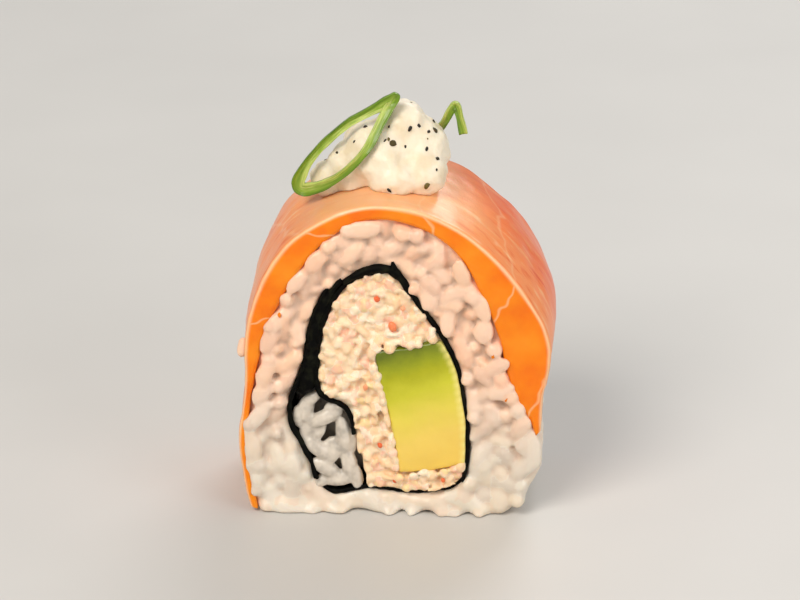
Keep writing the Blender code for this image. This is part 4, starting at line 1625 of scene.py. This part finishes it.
def salmon_mesh():
    """The draped slice, lofted from foot to end. Each point keeps its place in the flesh."""
    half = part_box("salmon")[1].y
    path = smooth_path(ROLL_EDGE, SALMON_STEPS) * MM
    out = -rightward(path[:, :2])
    bed = path[:, :2] + out * SALMON_GAP
    along = lengths_along(bed)
    counts = np.arange(len(path))
    first = int(np.argmax(bed[:, 1] > SALMON_FOOT))
    end = SALMON_END_POINT * SALMON_STEPS
    by_thickness, more = SALMON_ROUNDED
    rings, flesh, skins, brims = [], [], [], []
    for share in np.arange(SALMON_STATIONS + 1) / SALMON_STATIONS:
        here = first + (end - first) * share
        thick = np.interp(here, counts, path[:, 2])
        ends = np.interp([first, end], counts, along) - np.interp(here, counts, along)
        rounding = (np.abs(ends).min() + SALMON_TIP) / (by_thickness * thick + more)
        thick *= math.sqrt(1 - (1 - min(1.0, rounding)) ** 2)
        ring, places, skin_row, brim_row = [], [], [], []
        for y, height, skin, brim in slice_section(half, thick):
            back = (y / half + 1) / 2
            last = (SALMON_END_POINT - SALMON_SLANT * back) * SALMON_STEPS
            at = first + (last - first) * share
            x, z, out_x, out_z, length = (
                np.interp(at, counts, values) for values in (*bed.T, *out.T, along)
            )
            raised = height * (1 + SALMON_FULLNESS * math.sin(math.pi * back))
            ring.append((x + out_x * raised, y, z + out_z * raised))
            places.append((length / MM, y / MM, raised / MM))
            skin_row.append(skin)
            brim_row.append(brim)
        rings.append(ring)
        flesh.append(places)
        skins.append(skin_row)
        brims.append(brim_row)
    return lofted("salmon", rings, flesh=flesh, skin=skins, brim=brims)


class URAMAKI_OT_salmon(Operator):
    """Drapes the slice of salmon over the roll, and leaves a few crumbs of it on the rice"""

    bl_idname = "uramaki.salmon"
    bl_label = "Salmon"

    def execute(self, context):
        seed = context.scene.uramaki_rice.seed
        draw = random.Random(seed + 6)
        finish = salmon_material(context.scene.uramaki_topping)
        mesh = salmon_mesh()
        ruffled(mesh, *SALMON_RUFFLES)
        finished("salmon_slice", mesh, finish, "salmon", "salmon")
        places = []
        for side in (FRONT, BACK):
            for x, z, size in SALMON_CRUMBS_AT_FRONT:
                at = (x * MM, side * (rice_face() + SALMON_CRUMB_PROUD), z * MM)
                along = (draw.uniform(-1, 1), 0.0, 1.0)
                shape = in_metres(size, 0.6 * size, 0.5 * size)
                places.append(Place(at, along, (0.0, side, 0.0), shape))
        mesh = strewn("crumbs", places, CRUMB_SHAPE, finish, SALMON_CRUMB_BUMPS, seed + 6)
        finished("salmon_crumbs", mesh, finish, "salmon")
        return {"FINISHED"}


class URAMAKI_OT_cream_cheese(Operator):
    """Spoons the cream cheese on top and strews it with cracked pepper"""

    bl_idname = "uramaki.cream_cheese"
    bl_label = "Cream cheese and pepper"

    def execute(self, context):
        colours = context.scene.uramaki_topping
        seed = context.scene.uramaki_rice.seed
        draw = random.Random(seed + 8)
        lumps = bpy.data.meshes.new("lumps")
        with edited(lumps) as form:
            for x, y, z, radius in CHEESE_LUMPS:
                at = Matrix.Translation(Vector((x, y, z)) * MM)
                bmesh.ops.create_icosphere(
                    form, subdivisions=CHEESE_FACETS, radius=radius * MM, matrix=at
                )
        mesh = fleshed(linked("lumps", lumps), CHEESE_VOXEL, CHEESE_SMOOTHING)
        ruffled(mesh, *CHEESE_RUFFLES)
        body = combined(linked("cheese", mesh), "DIFFERENCE", linked("bed", salmon_mesh()))
        mesh = body.data
        bpy.data.objects.remove(body)
        without_specks(mesh)
        finish = cheese_material(colours)
        cheese = finished("cheese_dollop", mesh, finish, "cream_cheese", "cream_cheese")
        context.view_layer.update()
        specks = []
        for x, z, size in PEPPER_AT_FRONT:
            hit, place, out, _ = cheese.ray_cast(AHEAD + Vector((x, 0.0, z)) * MM, -AHEAD)
            if hit:
                specks.append((place, out, size * MM))
        faces = [face for face in cheese.data.polygons if face.center.z > PEPPER_LOWEST]
        for face in draw.sample(faces, PEPPER_STREWN):
            size = draw.uniform(*PEPPER_SIZES) * MM
            specks.append((face.center.copy(), face.normal.copy(), size))
        places = []
        for at, out, size in specks:
            along = out.orthogonal()
            along.rotate(Matrix.Rotation(draw.uniform(0, math.pi), 3, out))
            shape = (size, draw.uniform(*PEPPER_WIDTHS) * size, PEPPER_FLATNESS * size)
            places.append(Place(at, along, out, shape))
        finish = pepper_material(colours)
        mesh = strewn("pepper", places, PEPPER_SHAPE, finish, PEPPER_BUMPS, seed + 8)
        finished("pepper_specks", mesh, finish, "cream_cheese", "cream_cheese")
        return {"FINISHED"}


def bearing(points, bodies, side):
    """How far out each point bears on the bodies, seen from the front (-1) or behind (1)."""
    away = -side * AHEAD
    depths = []
    for point in points:
        rays = [body.ray_cast(point + away, -away) for body in bodies]
        found = [side * place.y for place, *_ in rays if place is not None]
        depths.append(max(found + [SCALLION_FREE_DEPTH]))
    return np.array(depths)


def eased(depths, ends):
    """The depths evened out along a strip, and none of them less than it was."""
    even = depths
    for _ in range(SCALLION_EASING):
        around = np.pad(even, 1, mode=ends)
        even = (around[:-2] + even + around[2:]) / 3
    return even + (depths - even).max()


def ring_loop(share, count):
    """Points round the ring: its inner edge at -1, its middle line at 0, its outer edge at 1."""
    long = RING_LONG * (1 + share * RING_END_WALL / RING_LONG.length)
    across = Vector((RING_LONG.z, 0.0, -RING_LONG.x)).normalized()
    base, bulge, lean = RING_TAPER
    start, end, closing = RING_PINCH
    points = []
    for i in range(count):
        turn = 2 * math.pi * i / count
        up, out = math.cos(turn), math.sin(turn)
        wide = base + bulge * abs(out) - lean * up
        wide *= 1 - closing * min(max((up - start) / (end - start), 0.0), 1.0)
        wall = share * RING_WALL * out / math.hypot(out, RING_EASING)
        points.append(RING_CENTRE + long * up + across * (RING_HALF_WIDTH * wide * out + wall))
    return points


def strip_section(count):
    """A leaf strip's section, as shares of half its width and half its depth.

    It is flat with blunt edges, and its front has a shallow channel along it.
    """
    section = []
    for turn in 2 * math.pi * np.arange(count) / count:
        across, deep = (
            math.copysign(abs(share) ** LEAF_BLUNTNESS, share)
            for share in (math.cos(turn), math.sin(turn))
        )
        if deep < 0:
            deep *= 1 - LEAF_CHANNEL * (1 - across**2)
        section.append((across, deep))
    return section


def scallion_ring(bodies):
    """The slanting ring, leaning on the front of the cream cheese where its solid does."""
    loops = [ring_loop(share, RING_POINTS) for share in (-1, 0, 1)]
    depths = eased(np.max([bearing(loop, bodies, FRONT) for loop in loops], axis=0), "wrap")
    knots = np.append(depths, depths[0]) + RING_DEPTH + SCALLION_GAP
    count = RING_SMOOTHING * RING_POINTS
    middle = np.interp(np.arange(count) / RING_SMOOTHING, np.arange(RING_POINTS + 1), knots)
    section = strip_section(RING_SECTION)
    line = ring_loop(0, count)
    loops = [ring_loop(share, count) for share, _ in section]
    along = lengths_along(np.array(line)) / MM
    often, most = RING_SWELL
    rings, leaf = [], []
    for i in range(count):
        # The noise closes on itself, as the ring does.
        turn = 2 * math.pi * i / count
        around = Vector((often * math.cos(turn), often * math.sin(turn), 2.0))
        swell = 1 + most * noise.noise(around)
        ring = []
        for loop, (_, deep) in zip(loops, section):
            place = line[i].lerp(loop[i], swell)
            ring.append((place.x, -middle[i] + deep * RING_DEPTH, place.z))
        rings.append(ring)
        leaf.append([(along[i], (share + 1) / 2, deep) for share, deep in section])
    return lofted("ring", rings, looped=True, leaf=leaf)


def scallion_curl(bodies):
    """The short folded strip, leaning on the back of the cream cheese."""
    knots = [Vector((x, 0.0, z)) for x, z in smooth_path(CURL_ROUTE, CURL_STEPS[0]) * MM]
    depths = eased(bearing(knots, bodies, BACK), "edge") + CURL_WALL + CURL_WIDTH + SCALLION_GAP
    path = [(knot.x, depth, knot.z) for knot, depth in zip(knots, depths)]
    path = smooth_path(path, CURL_STEPS[1])
    along = lengths_along(path) / MM
    section = strip_section(CURL_SECTION)
    length, most = CURL_SWELL
    start, going = CURL_ENDS
    rings, leaf = [], []
    for i, (place, tangent) in enumerate(zip(path, np.gradient(path, axis=0))):
        narrow = math.sin(math.pi * (start + going * i / (len(path) - 1)))
        swell = 1 + most * noise.noise(Vector((i / length, 0.0, 5.0)))
        wall = Vector(tangent).cross(AHEAD).normalized() * CURL_WALL * swell
        wide = -AHEAD * CURL_WIDTH * (CURL_NARROW + (1 - CURL_NARROW) * narrow)
        rings.append([Vector(place) + wall * across + wide * deep for across, deep in section])
        leaf.append([(along[i], (across + 1) / 2, deep) for across, deep in section])
    return lofted("curl", rings, leaf=leaf)


class URAMAKI_OT_scallion(Operator):
    """Lays the ring and the curl of scallion against the cream cheese"""

    bl_idname = "uramaki.scallion"
    bl_label = "Scallion"

    def execute(self, context):
        bodies = []
        for node in ("cream_cheese", "salmon"):
            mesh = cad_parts[node].data
            corners = [vert.co for vert in mesh.vertices]
            faces = [face.vertices[:] for face in mesh.polygons]
            bodies.append(BVHTree.FromPolygons(corners, faces))
        finish = scallion_material(context.scene.uramaki_topping)
        finished("scallion_ring_strip", scallion_ring(bodies), finish, "scallion", "scallion_ring")
        finished("scallion_curl_strip", scallion_curl(bodies), finish, "scallion", "scallion_curl")
        return {"FINISHED"}


def aimed(name, data, place):
    """A light or a camera that stands at a place and looks at the slice."""
    obj = linked(name, data)
    obj.location = place
    obj.rotation_euler = (CAMERA_TARGET - Vector(place)).to_track_quat("-Z", "Y").to_euler()
    return obj


class URAMAKI_OT_stage(Operator):
    """Sets up the pale floor, the soft studio light and the camera"""

    bl_idname = "uramaki.stage"
    bl_label = "Stage"

    def execute(self, context):
        scene = context.scene
        sizes = scene.uramaki_stage
        mesh = bpy.data.meshes.new("floor")
        with edited(mesh) as form:
            bmesh.ops.create_grid(form, x_segments=1, y_segments=1, size=FLOOR_SIZE / 2)
        mesh.materials.append(floor_material(sizes))
        linked("floor", mesh)
        for name, place, size, code in LIGHTS:
            lamp = bpy.data.lights.new(name, "AREA")
            lamp.shape = "DISK"
            lamp.size = size
            lamp.energy = getattr(sizes, name)
            lamp.color = linear(code)
            aimed(name, lamp, place)
        world = bpy.data.worlds.new("studio")
        world.use_nodes = True
        sky = world.node_tree.nodes["Background"]
        sky.inputs["Color"].default_value = (1.0, 1.0, 1.0, 1.0)
        sky.inputs["Strength"].default_value = SKY_STRENGTH
        scene.world = world
        scene.view_settings.view_transform = "Standard"
        lens = bpy.data.cameras.new("camera")
        lens.lens = CAMERA_LENS
        lens.sensor_width = SENSOR
        lens.clip_start = CAMERA_CLIP
        level = math.cos(CAMERA_ELEVATION)
        away = Vector(
            (
                math.sin(CAMERA_AZIMUTH) * level,
                -math.cos(CAMERA_AZIMUTH) * level,
                math.sin(CAMERA_ELEVATION),
            )
        )
        scene.camera = aimed("camera", lens, CAMERA_TARGET + away * CAMERA_DISTANCE)
        return {"FINISHED"}


GROUPS = {
    "uramaki_rice": UramakiRice,
    "uramaki_filling": UramakiFilling,
    "uramaki_topping": UramakiTopping,
    "uramaki_stage": UramakiStage,
}
STEPS = (
    URAMAKI_OT_stage,
    URAMAKI_OT_rice,
    URAMAKI_OT_trapped_rice,
    URAMAKI_OT_nori,
    URAMAKI_OT_crab_salad,
    URAMAKI_OT_avocado,
    URAMAKI_OT_salmon,
    URAMAKI_OT_cream_cheese,
    URAMAKI_OT_scallion,
)


class URAMAKI_PT_panel(Panel):
    """Lists the sizes and colours of the slice, and the steps that make it"""

    bl_idname = "URAMAKI_PT_panel"
    bl_label = "Uramaki slice"
    bl_space_type = "VIEW_3D"
    bl_region_type = "UI"
    bl_category = "Uramaki"

    def draw(self, context):
        for name, group in GROUPS.items():
            box = self.layout.box()
            for setting in group.__annotations__:
                box.prop(getattr(context.scene, name), setting)
        for step in STEPS:
            self.layout.operator(step.bl_idname)


CLASSES = (*GROUPS.values(), *STEPS, URAMAKI_PT_panel)


def register():
    for cls in CLASSES:
        bpy.utils.register_class(cls)
    for name, group in GROUPS.items():
        setattr(bpy.types.Scene, name, PointerProperty(type=group))


def unregister():
    for name in GROUPS:
        delattr(bpy.types.Scene, name)
    for cls in reversed(CLASSES):
        bpy.utils.unregister_class(cls)


def main():
    register()
    for step in STEPS:
        family, name = step.bl_idname.split(".")
        getattr(getattr(bpy.ops, family), name)()


if __name__ == "__main__":
    main()
